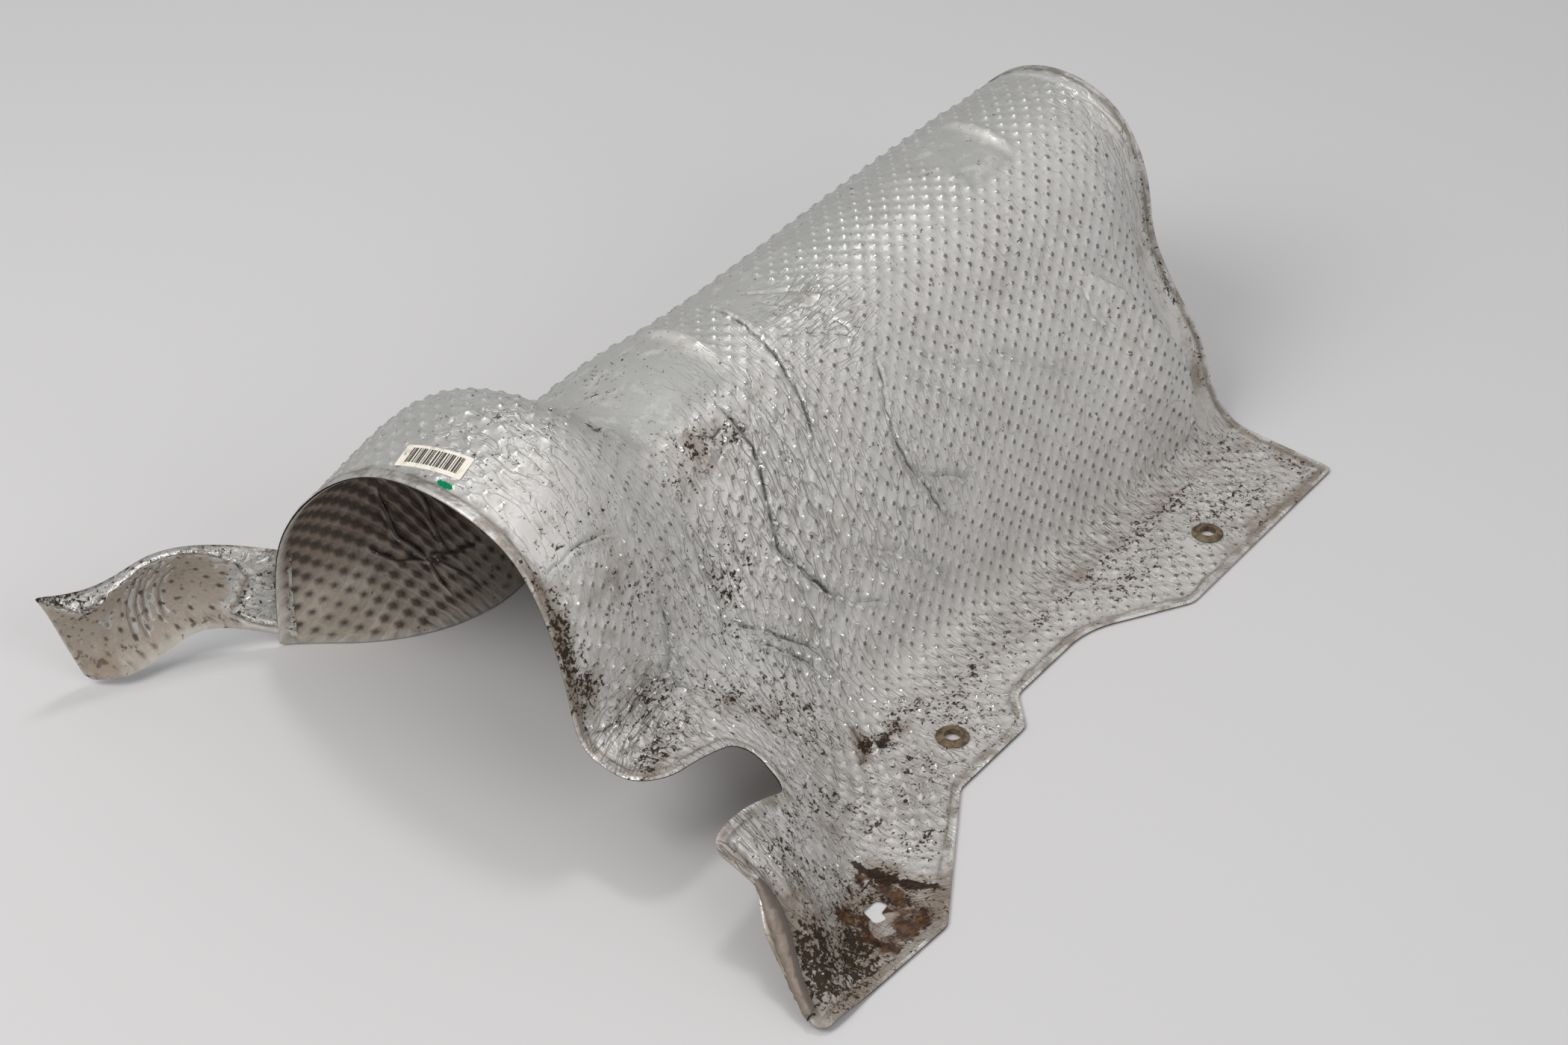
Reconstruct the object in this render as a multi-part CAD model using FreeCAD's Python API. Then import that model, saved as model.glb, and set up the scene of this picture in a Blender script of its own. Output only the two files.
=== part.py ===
import FreeCAD
import Part
import math
import os

# Driving sizes of the shield, in millimetres
SHEET_THICKNESS = 1.4
HEM_WIDTH = 7.0
HEM_RISE = 0.9
FRONT_RIM_X = -270.0
REAR_RIM_X = 255.0
FLANGE_REACH = 120.0
FOOT_LIFT = 0.5

# Eyelets and the raised seats that hold them
REAR_HOLE = (152.0, -189.0)
MIDDLE_HOLE = (-85.5, -196.0)
EYELET_BORE_RADIUS = 4.6
EYELET_WALL = 1.3
EYELET_LIP = 3.2
EYELET_LIP_THICKNESS = 0.8
EYELET_PLAY = 0.1
SEAT_RISE = 1.2
SEAT_RADIUS = 12.5
SEAT_SLOPE = 3.0

# Worn front hole, where the eyelet is gone
WORN_HOLE = (-215.5, -264.5)
WORN_RADIUS = 11.0
WORN_OPENING = ((-217, -247, 2.5), (-206, -247, 2.5), (-204.5, -253.5, 1.5), (-211, -254.5, 0.8), (-212, -259, 1.5),
                (-219, -257.5, 2.5))

# Paper label behind the front rim
LABEL_LENGTH = 44.0
LABEL_WIDTH = 12.0
LABEL_THICKNESS = 0.3
LABEL_CENTRE = (-254.0, 4.8)
LABEL_TURN = 6.0

# Cross-sections from the front lip to the rear rim, as the corners that pull the curve.
# Each row: x, then crown (y, z), left foot y, left shoulder y, then (y, z) of the right shoulder,
# wall, waist, shelf and shelf edge, then the fold y where the flange starts.
SECTIONS = (
    (-300, (-24, 156), 133, 116, (-80, 142), (-100, 98), (-103, 48), (-158, 44), (-240, 4), -290),
    (-284, (-24, 160), 133, 116, (-80, 142), (-100, 98), (-103, 48), (-158, 60), (-240, 30), -288),
    (-268, (-24, 164), 131, 116, (-80, 142), (-100, 98), (-103, 48), (-158, 64), (-236, 52), -282),
    (-240, (-20, 180), 94, 119, (-82, 154), (-99, 96), (-106, 50), (-158, 63), (-215, 46), -250),
    (-200, (-14, 194), 68, 119, (-74, 160), (-92, 92), (-108, 52), (-150, 50), (-190, 28), -222),
    (-155, (-12, 136), 62, 96, (-62, 116), (-82, 78), (-104, 46), (-128, 28), (-160, 12), -190),
    (-110, (-10, 162), 80, 94, (-64, 132), (-90, 90), (-108, 50), (-120, 22), (-134, 6), -154),
    (-60, (-8, 160), 96, 86, (-66, 138), (-92, 96), (-112, 54), (-122, 20), (-130, 5), -138),
    (20, (-5, 169), 104, 90, (-67, 144), (-93, 100), (-112, 56), (-122, 20), (-130, 5), -136),
    (110, (-1, 178), 110, 95, (-66, 149), (-92, 102), (-110, 56), (-121, 20), (-130, 5), -136),
    (172, (2, 183), 113, 98, (-65, 152), (-92, 104), (-111, 58), (-121, 20), (-130, 5), -136),
    (210, (3, 185), 115, 100, (-64, 153), (-92, 105), (-112, 58), (-122, 20), (-130, 5), -136),
    (228, (3, 185), 115, 101, (-58, 152), (-74, 101), (-96, 58), (-112, 24), (-128, 6), -136),
    (246, (4, 186), 116, 102, (-56, 152), (-69, 102), (-92, 60), (-108, 27), (-127, 6), -136),
    (268, (4, 186), 117, 103, (-57, 152), (-70, 102), (-92, 60), (-108, 28), (-126, 6), -136),
)

# Trimmed outline in plan: x, y and corner radius, from the mouth round to the rear rim
LEFT_CLEAR = 200.0
OUTLINE = (
    (FRONT_RIM_X, LEFT_CLEAR, 0),
    (FRONT_RIM_X, -157, 22),
    (-200, -152, 12),
    (-203, -184, 12),
    (-273, -198, 9),
    (-271, -226, 4),
    (-281, -240, 8),
    (-296, -289, 6),
    (-197, -285, 10),
    (-114, -225, 10),
    (-52, -219, 9),
    (-34, -199, 10),
    (35, -192, 60),
    (95, -221, 14),
    (REAR_RIM_X, -205, 5),
    (REAR_RIM_X, LEFT_CLEAR, 0),
)

# Strap from the mouth's left wall: rows run from bottom edge over the scoop and crest to the lip's edge
STRAP_ROOT_X = -262.0
STRAP_ROOT_HEIGHTS = (4, 18, 36, 52, 64)
STRAP_ROWS = (
    ((-283, 141, 14), (-287, 152, 26), (-286, 152, 44), (-281, 140, 58), (-275, 152, 62)),
    ((-308, 148, 28), (-312, 170, 40), (-312, 170, 60), (-309, 148, 84), (-314, 168, 74)),
    ((-332, 160, 4), (-335, 178, 22), (-338, 178, 46), (-338, 164, 64), (-332, 180, 55)),
    ((-353, 160, 8), (-362, 184, 22), (-366, 182, 42), (-366, 168, 52), (-358, 186, 55)),
    ((-361, 179, 3), (-366, 182, 22), (-372, 184, 44), (-378, 182, 60), (-382, 183, 69)),
)

# Flap folded back over the skirt's front edge: rows run from inside the sheet round the fold to the free edge
FLAP_ROWS = (
    ((-269, -227, 43), (-273, -227, 43), (-272, -227, 46), (-269, -226, 46)),
    ((-275, -240, 32), (-281, -240, 31), (-276, -240, 38), (-267, -240, 38)),
    ((-282, -256, 19), (-288, -256, 17), (-284, -256, 25), (-278, -257, 25)),
    ((-288, -270, 9), (-294, -270, 8), (-291, -270, 13), (-286, -271, 13)),
    ((-290, -280, 4), (-296, -280, 4), (-294, -280, 9), (-289, -280, 9)),
)

DEGREE = 3


def vec(x, y, z):
    return FreeCAD.Vector(x, y, z)


# Corner points of one cross-section, from the left foot over the crown to beyond the flange
def section_points(row):
    x, crown, foot_y, shoulder_y, right_shoulder, wall, waist, shelf, shelf_edge, fold_y = row
    crown_y, crown_z = crown
    profile = [
        (foot_y, FOOT_LIFT),
        (0.5 * (foot_y + shoulder_y) + 4, 0.30 * crown_z),
        (shoulder_y, 0.54 * crown_z),
        (crown_y + 0.45 * (shoulder_y - crown_y), 1.02 * crown_z),
        (crown_y + 0.50 * (right_shoulder[0] - crown_y), 1.02 * crown_z),
        right_shoulder,
        wall,
        waist,
        shelf,
        shelf_edge,
        (fold_y, 0),
        (fold_y - FLANGE_REACH / 6, 0),
        (fold_y - FLANGE_REACH / 2, 0),
        (fold_y - FLANGE_REACH, 0),
    ]
    return [vec(x, y, z) for y, z in profile]


# Even knots, clamped at both ends
def knot_vector(count):
    spans = count - DEGREE
    knots = [i / spans for i in range(spans + 1)]
    mults = [DEGREE + 1] + [1] * (spans - 1) + [DEGREE + 1]
    return knots, mults


# Parameter that each corner pulls most
def pull_points(count):
    knots, mults = knot_vector(count)
    full = [k for k, m in zip(knots, mults) for _ in range(m)]
    return [sum(full[i + 1:i + 1 + DEGREE]) / DEGREE for i in range(count)]


def net_surface(net):
    u_knots, u_mults = knot_vector(len(net))
    v_knots, v_mults = knot_vector(len(net[0]))
    surface = Part.BSplineSurface()
    surface.buildFromPolesMultsKnots(net, u_mults, v_mults, u_knots, v_knots, False, False, DEGREE, DEGREE)
    return surface


# The net moved off its own surface, with points on the floor moved straight up
def raised_net(net, rise, flat_from):
    surface = net_surface(net)
    raised = []
    for row, u in zip(net, pull_points(len(net))):
        new_row = []
        for j, (point, v) in enumerate(zip(row, pull_points(len(row)))):
            normal = vec(0, 0, 1) if j >= flat_from else -surface.normal(u, v)
            new_row.append(point + normal * rise)
        raised.append(new_row)
    return raised


# Solid between two nets of the same size
def net_solid(low, high):
    faces = [net_surface(low).toShape(), net_surface(high).toShape()]
    for a, b in zip(border_edges(low), border_edges(high)):
        faces.append(Part.makeRuledSurface(a, b, 1))
    shell = Part.makeShell(faces)
    shell.sewShape()
    solid = Part.makeSolid(shell)
    if solid.Volume < 0:
        solid.reverse()
    return solid


def border_edges(net):
    borders = (net[0], net[-1], [row[0] for row in net], [row[-1] for row in net])
    edges = []
    for poles in borders:
        knots, mults = knot_vector(len(poles))
        curve = Part.BSplineCurve()
        curve.buildFromPolesMultsKnots(poles, mults, knots, False, DEGREE)
        edges.append(curve.toShape())
    return edges


# Closed wire through corners (x, y, radius), with each corner rounded by its own arc
def rounded_wire(corners, z):
    count = len(corners)
    arcs = []
    for i in range(count):
        here = vec(corners[i][0], corners[i][1], z)
        back = vec(corners[i - 1][0], corners[i - 1][1], z) - here
        ahead = vec(corners[(i + 1) % count][0], corners[(i + 1) % count][1], z) - here
        back.normalize()
        ahead.normalize()
        radius = corners[i][2]
        half = back.getAngle(ahead) / 2
        reach = radius / math.tan(half)
        middle = back + ahead
        middle.normalize()
        nearest = here + middle * (radius / math.sin(half) - radius)
        arcs.append((here + back * reach, nearest, here + ahead * reach, radius))
    edges = []
    for i in range(count):
        start, nearest, end, radius = arcs[i]
        if radius > 0:
            edges.append(Part.Arc(start, nearest, end).toShape())
        edges.append(Part.makeLine(end, arcs[(i + 1) % count][0]))
    return Part.Wire(edges)


def prism(wire, height):
    return Part.Face(wire).extrude(vec(0, 0, height))


def cylinder(centre, radius, z, height):
    return Part.makeCylinder(radius, height, vec(centre[0], centre[1], z))


# Solid turned about a vertical axis from (radius, z) corners
def turned(centre, profile):
    points = [vec(centre[0] + r, centre[1], z) for r, z in profile]
    face = Part.Face(Part.makePolygon(points + points[:1]))
    return face.revolve(vec(centre[0], centre[1], 0), vec(0, 0, 1), 360)


net = [section_points(row) for row in SECTIONS]
FOLD_ROW = 10


def sheet_layer(low, high):
    return net_solid(raised_net(net, low, FOLD_ROW), raised_net(net, high, FOLD_ROW))


# Formed sheet trimmed to its outline, thick at the hem and pressed thinner inside it
trim_base = -20.0
trim_height = 1.3 * max(row[1][1] for row in SECTIONS)
outline_wire = rounded_wire(OUTLINE, trim_base)
inside = Part.Face(outline_wire).makeOffset2D(-HEM_WIDTH).extrude(vec(0, 0, trim_height))
pocket = sheet_layer(SHEET_THICKNESS, SHEET_THICKNESS + 3 * HEM_RISE).common(inside)
sheet = sheet_layer(0, SHEET_THICKNESS + HEM_RISE).common(prism(outline_wire, trim_height)).cut(pocket)


# Strap, rooted in the flared left wall, and the folded flap
def wall_point(x, height):
    surface = net_surface(net)
    plane = Part.Plane(vec(x, 0, 0), vec(1, 0, 0))
    curve = surface.intersect(plane)[0].toShape()
    points = [p for p in curve.discretize(400) if p.y > SECTIONS[0][1][0]]
    return min(points, key=lambda p: abs(p.z - height))


strap_net = [[wall_point(STRAP_ROOT_X, z) for z in STRAP_ROOT_HEIGHTS]]
strap_net += [[vec(*p) for p in row] for row in STRAP_ROWS]
strap = net_solid(strap_net, raised_net(strap_net, -SHEET_THICKNESS, len(strap_net[0])))
flap_net = [[vec(*p) for p in row] for row in FLAP_ROWS]
flap = net_solid(flap_net, raised_net(flap_net, -SHEET_THICKNESS, len(flap_net[0])))
sheet = sheet.fuse(strap).fuse(flap)

# Raised seats and eyelets in the two sound holes
barrel_radius = EYELET_BORE_RADIUS + EYELET_WALL
lip_radius = barrel_radius + EYELET_LIP
seat_hole = barrel_radius + EYELET_PLAY
seat_top = SEAT_RISE + SHEET_THICKNESS
seat_foot = SEAT_RADIUS + SEAT_SLOPE


def eyelet(centre):
    return turned(centre, (
        (EYELET_BORE_RADIUS, SEAT_RISE - EYELET_LIP_THICKNESS),
        (lip_radius - 0.6, SEAT_RISE - EYELET_LIP_THICKNESS),
        (lip_radius, SEAT_RISE),
        (barrel_radius, SEAT_RISE),
        (barrel_radius, seat_top),
        (lip_radius, seat_top),
        (lip_radius - 0.4, seat_top + 0.6 * EYELET_LIP_THICKNESS),
        (barrel_radius, seat_top + 1.6 * EYELET_LIP_THICKNESS),
        (EYELET_BORE_RADIUS, seat_top + 1.6 * EYELET_LIP_THICKNESS),
    ))


for hole in (REAR_HOLE, MIDDLE_HOLE):
    seat = turned(hole, (
        (seat_hole, SEAT_RISE),
        (SEAT_RADIUS, SEAT_RISE),
        (seat_foot, 0),
        (seat_foot, SHEET_THICKNESS),
        (SEAT_RADIUS, seat_top),
        (seat_hole, seat_top),
    ))
    sheet = sheet.cut(cylinder(hole, seat_foot, trim_base, 50)).fuse(seat)

# Worn hole: the top skin is gone in a round patch, with an uneven opening through the rest
top_skin = sheet_layer(0.5 * SHEET_THICKNESS, 3 * SHEET_THICKNESS)
sheet = sheet.cut(top_skin.common(cylinder(WORN_HOLE, WORN_RADIUS, trim_base, 50)))
sheet = sheet.cut(prism(rounded_wire(WORN_OPENING, trim_base), 50))

# Label lying on the front arch
half_length = LABEL_LENGTH / 2
half_width = LABEL_WIDTH / 2
label_corners = ((-half_width, -half_length, 1), (half_width, -half_length, 1),
                 (half_width, half_length, 1), (-half_width, half_length, 1))
label_cutter = prism(rounded_wire(label_corners, 0), trim_height)
label_cutter.rotate(vec(0, 0, 0), vec(0, 0, 1), LABEL_TURN)
label_cutter.translate(vec(LABEL_CENTRE[0], LABEL_CENTRE[1], 100))
label = sheet_layer(SHEET_THICKNESS, SHEET_THICKNESS + LABEL_THICKNESS).common(label_cutter)

nodes = {
    "shield_sheet": sheet,
    "eyelet_rear": eyelet(REAR_HOLE),
    "eyelet_middle": eyelet(MIDDLE_HOLE),
    "label": label,
}

# The frame: X along the line of the two sound holes, origin under the middle of the shield
turn = math.degrees(math.atan2(REAR_HOLE[1] - MIDDLE_HOLE[1], REAR_HOLE[0] - MIDDLE_HOLE[0]))
for shape in nodes.values():
    shape.rotate(vec(0, 0, 0), vec(0, 0, 1), -turn)
points = sheet.tessellate(0.2)[0]
middle = [0.5 * (min(p[i] for p in points) + max(p[i] for p in points)) for i in range(2)]
floor = min(p.z for p in points)
os.makedirs("parts", exist_ok=True)
for name, shape in nodes.items():
    shape.translate(vec(-middle[0], -middle[1], -floor))
    shape.exportStep("parts/" + name + ".step")
    print(name, shape.isValid(), len(shape.Solids), round(shape.Volume), shape.BoundBox)
print("turn", turn, "middle", middle, "floor", floor)
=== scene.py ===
import math

import bpy
import numpy as np
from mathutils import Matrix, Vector, noise
from mathutils.geometry import delaunay_2d_cdt
from mathutils.kdtree import KDTree


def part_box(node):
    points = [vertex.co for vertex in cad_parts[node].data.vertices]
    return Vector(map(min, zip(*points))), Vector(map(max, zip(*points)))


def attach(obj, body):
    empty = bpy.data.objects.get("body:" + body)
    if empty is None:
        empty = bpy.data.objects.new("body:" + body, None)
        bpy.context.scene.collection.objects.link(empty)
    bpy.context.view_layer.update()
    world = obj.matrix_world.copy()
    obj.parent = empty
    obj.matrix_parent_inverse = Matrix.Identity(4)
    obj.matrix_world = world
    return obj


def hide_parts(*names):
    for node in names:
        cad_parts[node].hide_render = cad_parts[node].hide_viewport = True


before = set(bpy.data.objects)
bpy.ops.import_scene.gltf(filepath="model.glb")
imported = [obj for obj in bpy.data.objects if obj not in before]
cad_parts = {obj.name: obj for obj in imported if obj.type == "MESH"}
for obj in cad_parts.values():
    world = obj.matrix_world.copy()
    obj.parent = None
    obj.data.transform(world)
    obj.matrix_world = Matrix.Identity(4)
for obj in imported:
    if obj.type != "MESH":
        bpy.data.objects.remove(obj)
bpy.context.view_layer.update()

MM = 0.001
DEGREE = 3

# Form of the sheet, as in the solids, in millimetres in the tunnel's own axes
REAR_HOLE = (152.0, -189.0)
MIDDLE_HOLE = (-85.5, -196.0)
WORN_HOLE = (-215.5, -264.5)
EYELET_BASE = 0.4
FRONT_RIM_X = -270.0
REAR_RIM_X = 255.0
FLANGE_REACH = 120.0
FOOT_LIFT = 0.5
# Cross-sections: x, then crown (y, z), left foot y, left shoulder y, then (y, z) of the right shoulder,
# wall, waist, shelf and shelf edge, then the fold y where the flange starts
SECTIONS = (
    (-300, (-24, 156), 133, 116, (-80, 142), (-100, 98), (-103, 48), (-158, 44), (-240, 4), -290),
    (-284, (-24, 160), 133, 116, (-80, 142), (-100, 98), (-103, 48), (-158, 60), (-240, 30), -288),
    (-268, (-24, 164), 131, 116, (-80, 142), (-100, 98), (-103, 48), (-158, 64), (-236, 52), -282),
    (-240, (-20, 180), 94, 119, (-82, 154), (-99, 96), (-106, 50), (-158, 63), (-215, 46), -250),
    (-200, (-14, 194), 68, 119, (-74, 160), (-92, 92), (-108, 52), (-150, 50), (-190, 28), -222),
    (-155, (-12, 136), 62, 96, (-62, 116), (-82, 78), (-104, 46), (-128, 28), (-160, 12), -190),
    (-110, (-10, 162), 80, 94, (-64, 132), (-90, 90), (-108, 50), (-120, 22), (-134, 6), -154),
    (-60, (-8, 160), 96, 86, (-66, 138), (-92, 96), (-112, 54), (-122, 20), (-130, 5), -138),
    (20, (-5, 169), 104, 90, (-67, 144), (-93, 100), (-112, 56), (-122, 20), (-130, 5), -136),
    (110, (-1, 178), 110, 95, (-66, 149), (-92, 102), (-110, 56), (-121, 20), (-130, 5), -136),
    (172, (2, 183), 113, 98, (-65, 152), (-92, 104), (-111, 58), (-121, 20), (-130, 5), -136),
    (210, (3, 185), 115, 100, (-64, 153), (-92, 105), (-112, 58), (-122, 20), (-130, 5), -136),
    (228, (3, 185), 115, 101, (-58, 152), (-74, 101), (-96, 58), (-112, 24), (-128, 6), -136),
    (246, (4, 186), 116, 102, (-56, 152), (-69, 102), (-92, 60), (-108, 27), (-127, 6), -136),
    (268, (4, 186), 117, 103, (-57, 152), (-70, 102), (-92, 60), (-108, 28), (-126, 6), -136),
)
# Trimmed outline in plan, from the mouth round to the rear rim: x, y and corner radius
OUTLINE = (
    (FRONT_RIM_X, -100, 0),
    (FRONT_RIM_X, -157, 22),
    (-200, -152, 12),
    (-203, -184, 12),
    (-273, -198, 9),
    (-271, -226, 4),
    (-281, -240, 8),
    (-296, -289, 6),
    (-197, -285, 10),
    (-114, -225, 10),
    (-52, -219, 9),
    (-34, -199, 10),
    (35, -192, 60),
    (95, -221, 14),
    (REAR_RIM_X, -205, 5),
    (REAR_RIM_X, -170, 0),
)
# Worn hole in the flange, in the same form
WORN_OPENING = (
    (-217, -247, 2.5),
    (-206, -247, 2.5),
    (-204.5, -253.5, 1.5),
    (-211, -254.5, 0.8),
    (-212, -259, 1.5),
    (-219, -257.5, 2.5),
)
# Strap from the mouth's left wall: rows run from the bottom edge over the scoop and crest to the lip's edge
STRAP_ROOT_X = -262.0
STRAP_ROOT_HEIGHTS = (4, 18, 36, 52, 64)
STRAP_ROWS = (
    ((-283, 141, 14), (-287, 152, 26), (-286, 152, 44), (-281, 140, 58), (-275, 152, 62)),
    ((-308, 148, 28), (-312, 170, 40), (-312, 170, 60), (-309, 148, 84), (-314, 168, 74)),
    ((-332, 160, 4), (-335, 178, 22), (-338, 178, 46), (-338, 164, 64), (-332, 180, 55)),
    ((-353, 160, 8), (-362, 184, 22), (-366, 182, 42), (-366, 168, 52), (-358, 186, 55)),
    ((-361, 179, 3), (-366, 182, 22), (-372, 184, 44), (-378, 182, 60), (-382, 183, 69)),
)
# Flap folded over the skirt's front edge: rows run from inside the sheet round the fold to the free edge
FLAP_ROWS = (
    ((-269, -227, 43), (-273, -227, 43), (-272, -227, 46), (-269, -226, 46)),
    ((-275, -240, 32), (-281, -240, 31), (-276, -240, 38), (-267, -240, 38)),
    ((-282, -256, 19), (-288, -256, 17), (-284, -256, 25), (-278, -257, 25)),
    ((-288, -270, 9), (-294, -270, 8), (-291, -270, 13), (-286, -271, 13)),
    ((-290, -280, 4), (-296, -280, 4), (-294, -280, 9), (-289, -280, 9)),
)
# Paper label, and how far its top stands above the net of the sheet
LABEL_LENGTH = 44.0
LABEL_WIDTH = 12.0
LABEL_CENTRE = (-254.0, 4.8)
LABEL_TURN = 6.0
LABEL_TOP = 1.7
LABEL_FADE = 3.0

# Skins, hem and embossing, in millimetres
OUTER_BASE = 0.55
HEM_TOP = 2.3
HEM_WIDTH = 4.8
HEM_FADE = 2.2
RIM_ROUND = 1.2
OUTER_HEM_ROWS = (0.4, 1.2, 2.6, 4.2, 5.4, 6.6)
INNER_HEM_ROWS = (0.4, 1.2, 5.5)
STRAP_HEM_ROWS = (0.4, 1.2, 3.0)
FLAP_HEM_ROWS = (0.4, 1.2)
EDGE_STEP = 3.0
FINE_STEP = 0.5
EMBOSS_RISE = 1.8
QUILT_DEPTH = 1.5
SKIN_GAP = 0.3
LOWEST = -0.06
PIP_ORIGIN = (20.3, -53.7)
PIP_A = (5.85, -5.99)
PIP_B = (5.85, 5.71)
PIP_TOP = 0.8
PIP_FOOT = 2.1
OUTER_RINGS = ((PIP_TOP, 6), (PIP_FOOT, 8))
INNER_RINGS = ((2.2, 5),)
SEAT_RISE = 1.2
SEAT_RADIUS = 12.5
SEAT_FOOT = 15.5
SEAT_HOLE = 6.0
SEAT_CLEAR = (13.0, 19.0)
WORN_RADIUS = 11.0
PAD_FADE = 9.0
# Distance from the edge and height above the floor over which the dents come in
DENT_EDGE = (4.0, 26.0)
DENT_HEIGHT = (2.0, 14.0)
# Ribs across the flap
RIB_PITCH = 5.0

# Places on the sheet are (x along the tunnel, s across it from the crown, less than 0 towards the flange)
# Creases: depth, then the line
CREASES = (
    (2.0, ((-47, 18), (-48, -8), (-52, -40), (-56, -68), (-61, -96))),
    (2.2, ((-101, -40), (-97, -62), (-95, -82), (-104, -108), (-106, -126), (-100, -142), (-87, -163),
           (-71, -184))),
    (1.1, ((-100, -142), (-100, -167), (-98, -190), (-96, -208))),
    (1.6, ((2, -70), (-1, -86), (-8, -100), (-10, -120), (-6, -137), (0, -150), (7, -169), (15, -182))),
    (1.2, ((-44, -31), (-23, -44), (2, -64))),
    (1.0, ((0, -145), (17, -154), (35, -168))),
    (0.8, ((10, -86), (34, -114), (60, -143))),
    (0.8, ((24, -82), (48, -104), (86, -130))),
    (0.8, ((77, -111), (100, -131), (135, -160))),
    (0.9, ((211, -49), (213, -66), (215, -88))),
    (0.8, ((160, -117), (161, -137), (169, -155))),
    (1.0, ((243, -28), (246, -52), (249, -76))),
    (1.0, ((-260, -81), (-237, -87), (-211, -94))),
    (1.6, ((-157, -79), (-152, -110), (-153, -134), (-158, -152))),
    (1.8, ((-266, -167), (-243, -177), (-206, -179), (-189, -196))),
    (1.4, ((-190, -128), (-192, -150), (-197, -168), (-206, -179))),
    (1.5, ((-150, -140), (-128, -160), (-112, -180), (-102, -200))),
    (1.5, ((-146, -152), (-130, -168), (-115, -190), (-108, -208))),
    (1.2, ((-149, -147), (-129, -161), (-106, -187), (-100, -207), (-103, -224))),
    (1.0, ((-28, -6), (-18, -26), (-8, -46), (-2, -62))),
    (0.9, ((-30, 10), (-14, -12), (4, -34))),
    (0.9, ((-84, -52), (-80, -76), (-84, -104), (-90, -126))),
    (0.8, ((-74, -60), (-70, -88), (-76, -118))),
    (1.2, ((-124, -48), (-114, -58), (-104, -56))),
    (1.0, ((-118, -70), (-108, -64), (-98, -66))),
    (0.8, ((-60, -150), (-36, -168), (-14, -192), (6, -214))),
    (0.8, ((-78, -176), (-52, -190), (-30, -212))),
    (0.9, ((-230, -195), (-215, -216), (-208, -240))),
    (0.9, ((-176, -200), (-160, -222), (-150, -250))),
    (2.6, ((-114, -228), (-121, -238), (-119, -248), (-108, -253))),
    (1.6, ((-121, -240), (-130, -244), (-138, -243))),
    (2.4, ((-211, 156), (-206, 187), (-195, 198), (-188, 216))),
    (2.2, ((-187, 154), (-182, 184), (-194, 197))),
    (2.0, ((-194, 197), (-163, 170))),
    (1.8, ((-194, 197), (-210, 201), (-222, 190))),
    (2.0, ((-194, 197), (-179, 196), (-170, 202))),
)
CREASE_STEP = 2.0
CREASE_ROWS = (0.0, 0.8, -0.8, 1.9, -1.9)
# Ledges, raised on the front side and sunk on the other: height, reach, then the line
LEDGES = (
    (3.0, 26, ((-160, -66), (-156, -84), (-152, -110), (-153, -134), (-160, -156))),
    (2.4, 14, ((-268, -160), (-243, -176), (-206, -179), (-186, -196))),
    (2.4, 14, ((-148, -146), (-129, -161), (-106, -187), (-100, -207), (-104, -226))),
    (5.0, 15, ((160, -104), (190, -134), (210, -166), (226, -190), (231, -215), (222, -236), (198, -248))),
    (2.0, 12, ((-112, -226), (-121, -238), (-117, -250), (-104, -252))),
)
# Shallow valleys: depth, half-width, then the line
VALLEYS = (
    (2.6, 20, ((-10, -76), (5, -80), (69, -90), (135, -99), (173, -109))),
    (1.6, 9, ((-110, -150), (-90, -172), (-72, -196))),
)
# Pads pressed flat: x range, s range, gloss
PADS = (
    (-152, -84, -34, 46, 1),
    (132, 166, -30, 16, 1),
    (-258, -205, -92, -50, 0),
    (236, 256, -262, -40, 0),
    (-40, -18, -18, 30, 1),
)
# Parts with bolder embossing: x, s, half-length along x, half-length along s, share added
BOLD = ((-150, -270, 44, 38, 1.1), (-238, -188, 34, 18, 0.9))
# Ridges at the end of the pads, with a painted highlight: x, s, half-length along x, half-length along s,
# strength
RIDGES = ((-80, -4, 4.0, 22, 0.8), (169, -8, 3.0, 20, 0.8), (-6, -46, 4, 14, 0.8), (243, -10, 2.5, 40, 0.8))
# Broad dents and bumps: x, s, half-length along x, half-length along s, rise
DENTS = (
    (-80, -2, 4.5, 26, 3.0),
    (170, -8, 4, 24, 2.6),
    (-124, -238, 9, 8, -6.0),
    (-112, -234, 5, 12, 3.0),
    (-255, -148, 14, 14, -2.0),
    (238, -140, 14, 18, -2.2),
    (-176, -60, 12, 30, -1.2),
    (-30, -110, 30, 40, 0.9),
    (60, -60, 40, 30, -0.8),
    (-196, -325, 10, 10, -1.6),
    (-6, -46, 12, 18, 1.4),
    (-70, -84, 12, 30, 1.0),
    (-225, -170, 26, 6, 1.5),
    (198, -196, 30, 42, 7.0),
    (240, -150, 9, 40, -2.0),
)
# Waves of the rear rim, which move its edge too: x, s, half-length along x, half-length along s, rise
RIM_WAVES = ((252, -126, 24, 28, -5.0), (250, -196, 26, 24, 6.0))
# Paint mark beside the label, on the plan: centre and half-lengths
INK_CENTRE = (-262.0, -12.0)
INK_REACH = (1.5, 5.5)
# Scorched line beside the worn hole, on the plan
SCORCH = ((-194.6, -225.4), (-191, -243), (-180.3, -261.8))


# Shape functions of a clamped even spline: one row for each parameter
def basis(count, t):
    spans = count - DEGREE
    knots = np.concatenate((np.zeros(DEGREE), np.arange(spans + 1) / spans, np.ones(DEGREE)))
    t = np.clip(np.asarray(t, float), 0, 1 - 1e-9)[:, None]
    b = ((t >= knots[:-1]) & (t < knots[1:])).astype(float)
    for d in range(1, DEGREE + 1):
        rise = knots[d:-1] - knots[:-d - 1]
        fall = knots[d + 1:] - knots[1:-d]
        up = (t - knots[:-d - 1]) / np.where(rise > 0, rise, 1)
        down = (knots[d + 1:] - t) / np.where(fall > 0, fall, 1)
        b = up * b[:, :-1] + down * b[:, 1:]
    return b


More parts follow.
